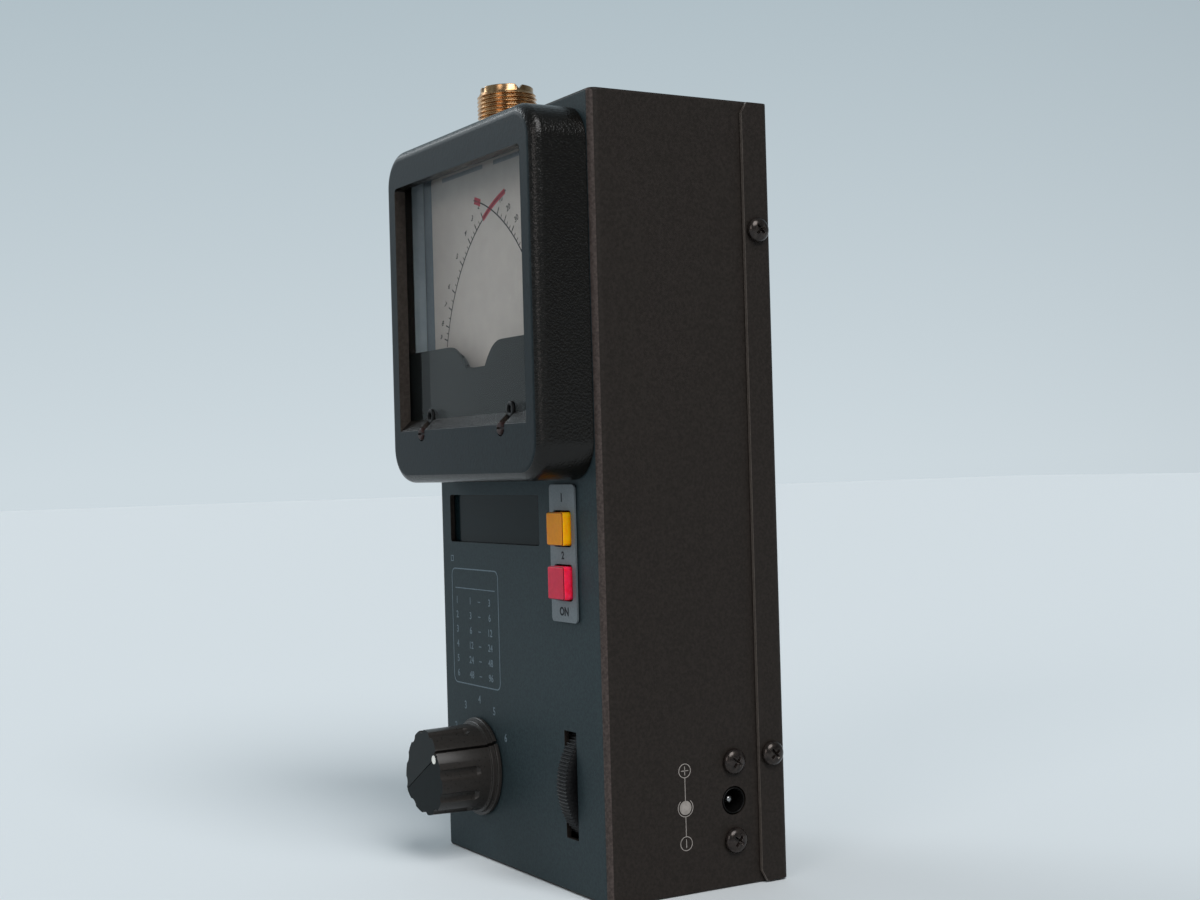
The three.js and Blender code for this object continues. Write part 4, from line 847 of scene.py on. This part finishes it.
def make_bezel():
    fillet = arc(METER_FILLET, METER_FACE + METER_FILLET, METER_FILLET, 180, 270, steps=10)
    rings = []
    for inset, y in [(0, METER_BACK), *fillet]:
        half, low, high = METER_HALF - inset, METER_LOW + inset, METER_HIGH - inset
        outline = rounded(-half, low, half, high, METER_CORNER - inset, steps=12)
        rings.append([(x, y, z) for x, z in outline])
    bezel = lofted("bezel", rings)
    inner = METER_HALF - METER_WALL
    low, high = METER_LOW + METER_WALL, METER_HIGH - METER_WALL
    cavity = rounded(-inner, low, inner, high, METER_CORNER - METER_WALL)
    lip_top = WINDOW_LOW + LIP
    front, back = METER_FACE - OVERRUN, FRAME_BACK + LIP_ROOT
    lip_low, lip_high = WINDOW_LOW - LIP / METER_FRAME * OVERRUN, lip_top + 2 * OVERRUN
    lip = [(front, lip_low), (back, lip_top), (back, lip_high), (front, lip_high)]
    opening = rounded(-WINDOW_HALF, lip_top, WINDOW_HALF, WINDOW_HIGH, WINDOW_CORNER, steps=6)
    tools = [
        slab("cavity", cavity, FRAME_BACK, METER_BACK + OVERRUN),
        slab("opening", opening, front, FRAME_BACK + OVERRUN),
        drawn("lip", lip, (-WINDOW_HALF, WINDOW_HALF), "X"),
    ]
    for side, _ in SIDES:
        left, right = side * ADJUSTER_X - SLOT_RADIUS, side * ADJUSTER_X + SLOT_RADIUS
        low, high = ADJUSTER_Z - SLOT_RADIUS, SLOT_TOP + SLOT_RADIUS
        outline = rounded(left, low, right, high, SLOT_RADIUS * SLOT_ROUND, steps=10)
        tools.append(slab("slot", outline, front, FRAME_BACK + OVERRUN))
    dressed(soften(cut(bezel, *tools), MOULDED_EDGE, segments=3), bezel_black, "meter_bezel")
    facing, sideways, face_skin, wall_skin = -0.96, 0.9, 0.5, 0.2

    # The front face gets the painted reflection, the opening's side walls the painted light.
    def choose_painted_light(normal, centre):
        if normal.y < facing and centre.y < METER_FACE + face_skin:
            return 1
        return 2 if abs(normal.x) > sideways and abs(centre.x) < WINDOW_HALF + wall_skin else 0

    painted(bezel, (bezel_face_painted_reflection, bezel_inner_painted_light), choose_painted_light)


def make_window():
    half = WINDOW_HALF + GLASS_OVERLAP
    low, high = WINDOW_LOW + LIP - GLASS_OVERLAP, WINDOW_HIGH + GLASS_OVERLAP
    outline = rounded(-half, low, half, high, WINDOW_CORNER, steps=4)
    glass = slab("window", outline, GLASS_FRONT, GLASS_FRONT + GLASS)
    dressed(glass, clear_window, "meter_window")


def make_collars():
    """The collar round each zero adjuster's slot, with the stem below it."""
    near, far = GLASS_FRONT - COLLAR_STEP, GLASS_FRONT - COLLAR_LIFT
    low, high = STEM_LEVELS
    ring = (COLLAR_INNER[-1], *COLLAR_OUTER, *COLLAR_INNER)
    for side, word in SIDES:
        name = f"adjuster_collar_{word}"
        x = side * ADJUSTER_X
        profile = [(radius, GLASS_FRONT - rise) for radius, rise in ring]
        collar = turned(name, profile, (x, 0, SLOT_TOP), "Y", steps=40)
        stem = block("stem", (x - STEM_HALF, near, low), (x + STEM_HALF, far, high))
        collar = joined(name, [collar, stem])
        dressed(soften(collar, 0), jack_black)


def mask_outline():
    """The mask's lower edge, its sides and its upper edge with a curved notch in the middle."""
    edge = []
    for i in range(NOTCH_STEPS + 1):
        t = i / NOTCH_STEPS
        rise = (MASK_HIGH - NOTCH_FLOOR) * (1 - (1 - t) ** NOTCH_POWER)
        edge.append((NOTCH_HALF + NOTCH_SIDE * t, NOTCH_FLOOR + rise))
    right = [(MASK_HALF, MASK_LOW + METER_CORNER), (MASK_HALF, MASK_HIGH), *reversed(edge)]
    left = [(-x, z) for x, z in reversed(right)]
    foot = MASK_HALF - METER_CORNER
    return [(-foot, MASK_LOW), (foot, MASK_LOW), *right, *left]


def make_mask():
    mask = slab("mask", mask_outline(), MASK_FRONT, MASK_FRONT + MASK_SHEET)
    ends = (MASK_FRONT - OVERRUN, MASK_FRONT + 2 * OVERRUN)
    holes = [rod(MASK_HOLE, ends, (side * ADJUSTER_X, 0, ADJUSTER_Z), "Y") for side, _ in SIDES]
    dressed(soften(cut(mask, *holes), FINE_EDGE), mask_black, "dial_mask")


def make_adjusters():
    half, depth, slot_half = ADJUSTER_SLOT
    start, end = ADJUSTER_FRONT - OVERRUN, ADJUSTER_FRONT + depth
    low, high = ADJUSTER_Z - slot_half, ADJUSTER_Z + slot_half
    profile = [(radius, ADJUSTER_FRONT + depth) for radius, depth in ADJUSTER]
    for side, word in SIDES:
        x = side * ADJUSTER_X
        head = filled(f"zero_adjuster_{word}_turned", profile, (x, 0, ADJUSTER_Z), "Y", steps=40)
        slot = block("slot", (x - half, start, low), (x + half, end, high))
        soften(cut(head, slot), FINE_EDGE)
        dressed(head, adjuster_brown, f"zero_adjuster_{word}", body=f"{word}_adjuster")


# Dial


def flat_print(outline, front=DIAL_FRONT, lift=DIAL_LIFT, name="print"):
    return slab(name, outline, front - lift, front - PRINT_GAP)


def dial_strip(side, low, high, inner, outer, steps):
    """A strip of print along the arc round the opposite pivot; side -1 is the left scale."""
    edges = [arc(-PIVOT_X, PIVOT_Z, radius, low, high, steps) for radius in (inner, outer)]
    return flat_print([(side * x, z) for x, z in edges[0] + edges[1][::-1]])


def dial_tick(side, angle, length, width):
    a = radians(angle)
    along = Vector((side * cos(a), sin(a)))
    across = Vector((-along.y, along.x)) * width / 2
    pivot = Vector((-side * PIVOT_X, PIVOT_Z))
    start = pivot + along * ARC
    end = pivot + along * (ARC + length)
    corners = (start - across, end - across, end + across, start + across)
    return flat_print([tuple(corner) for corner in corners])


def lettering(text, height, x, z, front, turn=0, weight=THIN):
    """Plain lettering as a thin mesh on the plane y = front, centred on x and z."""
    curve = bpy.data.curves.new("text", "FONT")
    curve.body = text
    curve.size = height * FONT_SHARE * MM
    curve.align_x = "CENTER"
    curve.align_y = "CENTER"
    curve.extrude = FONT_DEPTH * MM
    curve.offset = weight * height * MM
    curve.resolution_u = 3
    holder = linked("text", curve)
    graph = bpy.context.evaluated_depsgraph_get()
    mesh = bpy.data.meshes.new_from_object(holder.evaluated_get(graph))
    bpy.data.objects.remove(holder)
    stand = Matrix.Rotation(radians(90), 4, "X")
    spin = Matrix.Rotation(radians(-turn), 4, "Y")
    mesh.transform(Matrix.Translation(Vector((x, front - FONT_LIFT, z)) * MM) @ spin @ stand)
    return linked("text", mesh)


def arch(half, top, radius):
    """Points up one side of the dial, round both upper corners and down the other side."""
    x, z = half - radius, top - radius
    corners = arc(x, z, radius, 0, 90) + arc(-x, z, radius, 90, 180)
    return [(half, ARCH_LOW), *corners, (-half, ARCH_LOW)]


def between_arches(outer, inner):
    return arch(*outer) + arch(*inner)[::-1]


def make_liner():
    """A pale wall round the dial, behind the window."""
    liner = slab("dial_liner", between_arches(LINER_OUTER, LINER_INNER), LINER_FRONT, LINER_BACK)
    dressed(liner, liner_pale)


def make_dial_print():
    black = []
    for side, _ in SIDES:
        black.append(dial_strip(side, *ARC_ENDS, ARC - ARC_LINE, ARC + ARC_LINE, steps=60))
        for angles, tick in ((MAJOR, MAJOR_TICK), (MINOR, MINOR_TICK)):
            black += [dial_tick(side, angle, *tick) for angle in angles]
        for angle, text in zip(MAJOR, LEFT_NUMBERS if side < 0 else RIGHT_NUMBERS):
            a = radians(angle)
            radius = ARC + NUMBER_GAP
            x, z = side * (radius * cos(a) - PIVOT_X), PIVOT_Z + radius * sin(a)
            lean = side * (angle - 90) * -NUMBER_TILT
            black.append(lettering(text, NUMBER_HEIGHT, x, z, DIAL_FRONT, lean))
    red = []
    for side, low, high, half, steps in RED_ARCS:
        red.append(dial_strip(side, low, high, ARC - half, ARC + half, steps))
    grey = [flat_print(box_outline(*box)) for box in GREY_BARS]
    # A blue-grey band round the edge of the dial, next to the meter's wall.
    border = flat_print(between_arches(BORDER_OUTER, BORDER_INNER), name="dial_border")
    dressed(border, dial_edge_blue)
    dressed(joined("dial_print_black", black), print_black)
    dressed(joined("dial_print_red", red), print_red)
    dressed(joined("dial_print_grey", grey), print_grey)


# Buttons


def make_caps():
    front = CASE_FRONT - CAP_PROUD
    # Near the front, the face gets the painted shade and the chamfer round it the dark painted shade line.
    skin, facing = 0.3, -0.9

    def choose_painted_light(normal, centre):
        if centre.y > front + skin:
            return 0
        return 1 if normal.y < facing else 2

    for name, z, side, face, edge in (
        ("gate_button", GATE_Z, cap_orange, cap_orange_face_painted_shade, cap_orange_chamfer_painted_shade),
        ("power_button", POWER_Z, cap_red, cap_red_face_painted_shade, cap_red_chamfer_painted_shade),
    ):
        rings = []
        for inset, depth in CAP_RINGS:
            half = CAP_HALF - inset
            radius = max(CAP_CORNER_LEAST, CAP_CORNER - inset)
            outline = rounded(*around(BUTTON_X, z, half), radius, steps=5)
            rings.append([(x, front + depth, y) for x, y in outline])
        cap = lofted(f"{name}_cap", rings)
        radius, start, end = CAP_STEM
        stem = rod(radius, (front + start, front + end), (BUTTON_X, 0, z), "Y", steps=32)
        cap = joined(f"{name}_cap", [cap, stem])
        dressed(soften(cap, 0), side, name, body=name)
        painted(cap, (face, edge), choose_painted_light)


def make_plate():
    outline = rounded(*PLATE, steps=6)
    plate = slab("button_plate_print", outline, PLATE_FRONT, CASE_FRONT - SEAT_GAP)
    holes = []
    for z in (GATE_Z, POWER_Z):
        outline = rounded(*cap_hole(z), steps=6)
        holes.append(slab("hole", outline, PLATE_FRONT - OVERRUN, CASE_FRONT + OVERRUN))
    dressed(soften(cut(plate, *holes), TRIM_EDGE), plate_silver, "button_plate")


# Knob and wheel


def about_axis(degrees):
    return Matrix.Rotation(radians(degrees), 4, "Y")


def make_knob():
    """Flutes that end in a slope, and a face that falls away from a ridge along the pointer."""
    back, face, middle = KNOB_BACK, KNOB_FACE, (0, 0, 0)
    profile = [(radius, back - rise) for radius, rise in KNOB_SKIRT + KNOB_STEP]
    profile += [(radius, face + depth) for radius, depth in KNOB_TOP]
    knob = filled("knob", profile, middle, "Y", steps=180)
    start, end = face - OVERRUN, face + FLUTE_LENGTH
    tip, slope = FLUTE_TIP
    flute = [(FLUTE_RADIUS, start), (FLUTE_RADIUS, end - slope), (tip, end)]
    for i in range(1, FLUTE_PLACES):
        tool = filled("flute", flute, (FLUTE_AXIS, 0, 0), "Y", steps=64)
        tool.data.transform(about_axis(GROOVE_TURN + 360 * i / FLUTE_PLACES))
        cut(knob, tool)
    fall = tan(radians(FACE_SLOPE)) * KNOB_SPAN
    for side in (1, -1):
        far = side * KNOB_SPAN
        wedge = [(face - FACE_CUT, 0), (face, 0), (face + fall, far), (face - FACE_CUT, far)]
        cut(knob, drawn("facet", wedge, (-KNOB_SPAN, KNOB_SPAN), "X"))
    before, behind = face - 2 * OVERRUN, back + 2 * OVERRUN
    groove = block("groove", (GROOVE_BOTTOM, before, -GROOVE_HALF), (KNOB_REACH, behind, GROOVE_HALF))
    groove.data.transform(about_axis(GROOVE_TURN))
    low = (-KNOB_REACH, face - OVERRUN, -CREASE_HALF)
    high = (KNOB_REACH, face + CREASE_DEPTH, CREASE_HALF)
    wide, narrow = KNOB_BORE
    hollow = rod(wide, (back - KNOB_BORE_DEPTH, behind), middle, "Y")
    bore = rod(narrow, (SHAFT_END, behind), middle, "Y")
    cut(knob, groove, block("crease", low, high), hollow, bore)
    knob.data.shade_smooth()
    knob.data.set_sharp_from_angle(angle=radians(24))
    place = Matrix.Translation(Vector((KNOB[0], 0, KNOB[1])) * MM) @ about_axis(POINTER_TURN)
    knob.data.transform(place)
    dressed(knob, knob_black, "band_knob", body="knob")
    # The knob's face gets the painted shade and reflection.
    facing, face_back = -0.9, face + 2
    painted(knob, (knob_face_painted_shade,), lambda normal, centre: normal.y < facing and centre.y < face_back)
    outline = arc(DOT_PLACE, 0, DOT_RADIUS, 0, 360, steps=24)[:-1]
    dot = slab("knob_dot", outline, face + PRINT_GAP, face + DOT_DEPTH)
    dot.data.transform(place)
    dressed(dot, dot_white, body="knob")


def wheel_loop(x, radius, depth):
    per_tooth = len(TOOTH_SHARES)
    total = TEETH * per_tooth
    points = []
    for i in range(total):
        a = 2 * pi * i / total
        r = radius - depth * TOOTH_SHARES[i % per_tooth]
        points.append((x, WHEEL[1] + r * sin(a), WHEEL[2] + r * cos(a)))
    return points


def make_wheel():
    sections = [(-x, radius, depth) for x, radius, depth in WHEEL_RIM]
    sections += [*reversed(WHEEL_RIM), *WHEEL_WEB]
    sections += [(-x, radius, depth) for x, radius, depth in reversed(WHEEL_WEB)]
    loops = [wheel_loop(WHEEL[0] + x, radius, depth) for x, radius, depth in sections]
    wheel = lofted("wheel", loops, ring=True)
    dressed(soften(wheel, 0), wheel_black, "tuning_wheel", body="thumbwheel")


# Power jack


def make_jack():
    y, z = JACK
    axis = (0, y, z)
    barrel = filled("jack_barrel", JACK_BARREL + JACK_MOUTH, axis, "X")
    radius, *ends = JACK_BORE
    cut(barrel, rod(radius, ends, axis, "X", steps=24))
    dressed(soften(barrel, JACK_EDGE), jack_black, "power_jack")
    outline = rounded(*around(y, z, *EARS_HALF), EARS_CORNER, steps=6)
    ears = drawn("jack_ears", outline, EARS, "X")
    holes = [rod(SCREW_HOLE, EARS_CUT, (0, y, level), "X", steps=24) for level in JACK_SCREW_LEVELS]
    cut(ears, rod(EARS_HOLE, EARS_CUT, axis, "X"), *holes)
    dressed(soften(ears), jack_black)
    pin = turned("jack_pin", JACK_PIN, axis, "X", steps=24)
    dressed(soften(pin, 0), steel, "power_jack_pin")


# Print on the case


def frame_line(left, low, right, high, radius, width):
    """A thin rounded frame printed on the front."""
    corner = max(FRAME_CORNER_LEAST, radius - width)
    outer = rounded(left, low, right, high, radius, steps=6)
    inner = rounded(left + width, low + width, right - width, high - width, corner, steps=6)
    front, back = CASE_FRONT - CASE_LIFT, CASE_FRONT - PRINT_GAP
    loops = []
    for y, outline in ((front, outer), (front, inner), (back, inner), (back, outer)):
        loops.append([(x, y, z) for x, z in outline])
    return lofted("frame", loops, ring=True)


def bar(left, low, right, high):
    return flat_print(box_outline(left, low, right, high), CASE_FRONT, CASE_LIFT)


def make_front_print():
    faint = [frame_line(*MARK_FRAME), frame_line(*TABLE_FRAME), bar(*HEAD_LINE)]
    for i, limits in enumerate(zip(LIMITS, LIMITS[1:])):
        z = ROW_TOP - ROW_STEP * i
        for x, text in zip(COLUMNS, (str(i + 1), *limits)):
            faint.append(lettering(text, CELL_HEIGHT, x, z, CASE_FRONT))
        faint.append(bar(DASH[0], z - DASH_HALF, DASH[1], z + DASH_HALF))
        a = radians(BAND_STEP * i - 90)
        x = KNOB[0] + BAND_RADIUS * sin(a)
        z = KNOB[1] + BAND_RISE + BAND_RADIUS * cos(a)
        faint.append(lettering(str(i + 1), BAND_HEIGHT, x, z, CASE_FRONT))
    dressed(joined("front_print", faint), print_faint)
    words = [lettering(text, size, BUTTON_X, z, PLATE_FRONT, weight=THICK) for text, size, z in PLATE_WORDS]
    dressed(joined("plate_print", words), print_black)


def side_ring(y, z, inner, outer):
    low, high = SIDE_PRINT
    profile = [(inner, low), (outer, low), (outer, high), (inner, high), (inner, low)]
    return turned("ring", profile, (0, y, z), "X", steps=40)


def side_bar(y, z, half_y, half_z):
    low, high = SIDE_PRINT
    return block("bar", (low, y - half_y, z - half_z), (high, y + half_y, z + half_z))


def side_arc(y, z, inner, outer, gap):
    """A ring on the side that is open at the top by gap degrees to each side."""
    outside, inside = (arc(z, y, radius, gap, 360 - gap, steps=32) for radius in (outer, inner))
    return drawn("arc", [(b, a) for a, b in outside + inside[::-1]], SIDE_PRINT, "X")


def make_polarity_print():
    """The usual pictogram of a socket's polarity: plus, pin and minus on one line."""
    y, line = POLARITY_Y, LINE_HALF
    marks = []
    for z in (PLUS_Z, MINUS_Z):
        marks.append(side_ring(y, z, SIGN_RADIUS - 2 * line, SIGN_RADIUS))
        marks.append(side_bar(y, z, line, SIGN_RADIUS * SIGN_BAR))
    marks.append(side_bar(y, PLUS_Z, SIGN_RADIUS * SIGN_BAR, line))
    marks.append(side_arc(y, PIN_Z, CUP_RADIUS - 2 * line, CUP_RADIUS, CUP_GAP))
    marks.append(side_ring(y, PIN_Z, DISC_CENTRE, DISC_RADIUS))
    below = (MINUS_Z + SIGN_RADIUS, PIN_Z - CUP_RADIUS)
    above = (PIN_Z + DISC_RADIUS, PLUS_Z - SIGN_RADIUS)
    for low, high in (below, above):
        marks.append(side_bar(y, (low + high) / 2, line, (high - low) / 2))
    dressed(joined("polarity_print", marks), print_pale)


make_case_shell()
make_cover()
make_screws()
make_barrel()
make_connector_fittings()
make_bezel()
make_window()
make_collars()
make_mask()
make_liner()
make_dial_print()
make_adjusters()
make_caps()
make_plate()
make_knob()
make_wheel()
make_jack()
make_front_print()
make_polarity_print()

# CAD nodes that keep their shape
KEPT = {
    dial_white: ["dial_plate"],
    needle_black: [f"needle_{side}" for _, side in SIDES],
    copper: [f"moving_coil_{side}" for _, side in SIDES],
    steel: ["band_switch_shaft", "tuning_shaft", "tuning_bracket", "display_module"],
    smoked: ["display_filter"],
    brass: ["meter_nut_left", "meter_nut_right", "band_switch_nut"],
    dark_inside: ["meter_base", "gate_switch", "power_switch", "band_switch"],
    white_plastic: ["tuning_capacitor"],
    board_green: ["main_board"],
    holder_black: ["battery_holder"],
    cell_jacket: [f"battery_cell_{i + 1}" for i in range(6)],
}
for _, side in SIDES:
    KEPT[steel].append(f"movement_frame_{side}")
    KEPT[brass] += [f"board_spacer_lower_{side}", f"board_spacer_upper_{side}"]
for material, nodes in KEPT.items():
    for node in nodes:
        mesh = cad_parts[node].data
        mesh.materials.clear()
        mesh.materials.append(material)


# Floor, lamps and camera


def make_floor():
    corners = [(x, y, 0) for x, y in box_outline(*around(0, 0, FLOOR_HALF))]
    floor = new_piece("floor", corners, [(0, 1, 2, 3)])
    floor.location.z = -FLOOR_DROP * MM
    pale, _, shader = new_material("floor_pale")
    feed(shader, Base_Color=srgb(226, 231, 234), Roughness=0.9)
    floor.data.materials.append(pale)


def make_sun(name, source, spread, power, colour):
    light = bpy.data.lights.new(name, "SUN")
    light.angle = radians(spread)
    light.energy = power
    light.color = colour
    sun = linked(name, light)
    sun.rotation_euler = (-Vector(source)).to_track_quat("-Z", "Y").to_euler()


def make_world():
    """A pale studio, bright on the left and dim on the right."""
    world = bpy.data.worlds.new("studio")
    bpy.context.scene.world = world
    world.use_nodes = True
    tree = world.node_tree
    add, link = tree.nodes.new, tree.links.new
    shine = tree.nodes["Background"]
    way = add("ShaderNodeSeparateXYZ")
    link(add("ShaderNodeTexCoord").outputs["Generated"], way.inputs["Vector"])
    across = add("ShaderNodeMapRange")
    across.interpolation_type = "SMOOTHSTEP"
    feed(across, **STRENGTH)
    link(way.outputs["X"], across.inputs["Value"])
    link(across.outputs["Result"], shine.inputs["Strength"])
    height = add("ShaderNodeMapRange")
    feed(height, From_Max=HORIZON_TOP)
    link(way.outputs["Z"], height.inputs["Value"])
    fade = add("ShaderNodeMix")
    fade.data_type = "RGBA"
    low, high = [socket for socket in fade.inputs if socket.type == "RGBA"]
    low.default_value = srgb(206, 217, 223)
    high.default_value = srgb(166, 182, 190)
    link(height.outputs["Result"], fade.inputs["Factor"])
    blended = [socket for socket in fade.outputs if socket.type == "RGBA"]
    link(blended[0], shine.inputs["Color"])


def make_camera():
    azimuth, pitch, roll = (radians(v) for v in CAMERA_TURN)
    level_part = cos(pitch)
    forward = Vector((-sin(azimuth) * level_part, cos(azimuth) * level_part, sin(pitch)))
    level = forward.cross(Vector((0, 0, 1))).normalized()
    upright = level.cross(forward)
    right = level * cos(roll) + upright * sin(roll)
    up = upright * cos(roll) - level * sin(roll)
    camera = linked("camera", bpy.data.cameras.new("camera"))
    turn = Matrix((right, up, -forward)).transposed().to_4x4()
    camera.matrix_world = Matrix.Translation(Vector(CAMERA_SPOT) * MM) @ turn
    camera.data.lens = CAMERA_LENS
    camera.data.sensor_width = CAMERA_SENSOR
    camera.data.clip_start = CAMERA_NEAR
    bpy.context.scene.camera = camera


make_floor()
make_world()
for sun in SUNS:
    make_sun(*sun)
make_camera()
bpy.context.scene.view_settings.view_transform = "Standard"
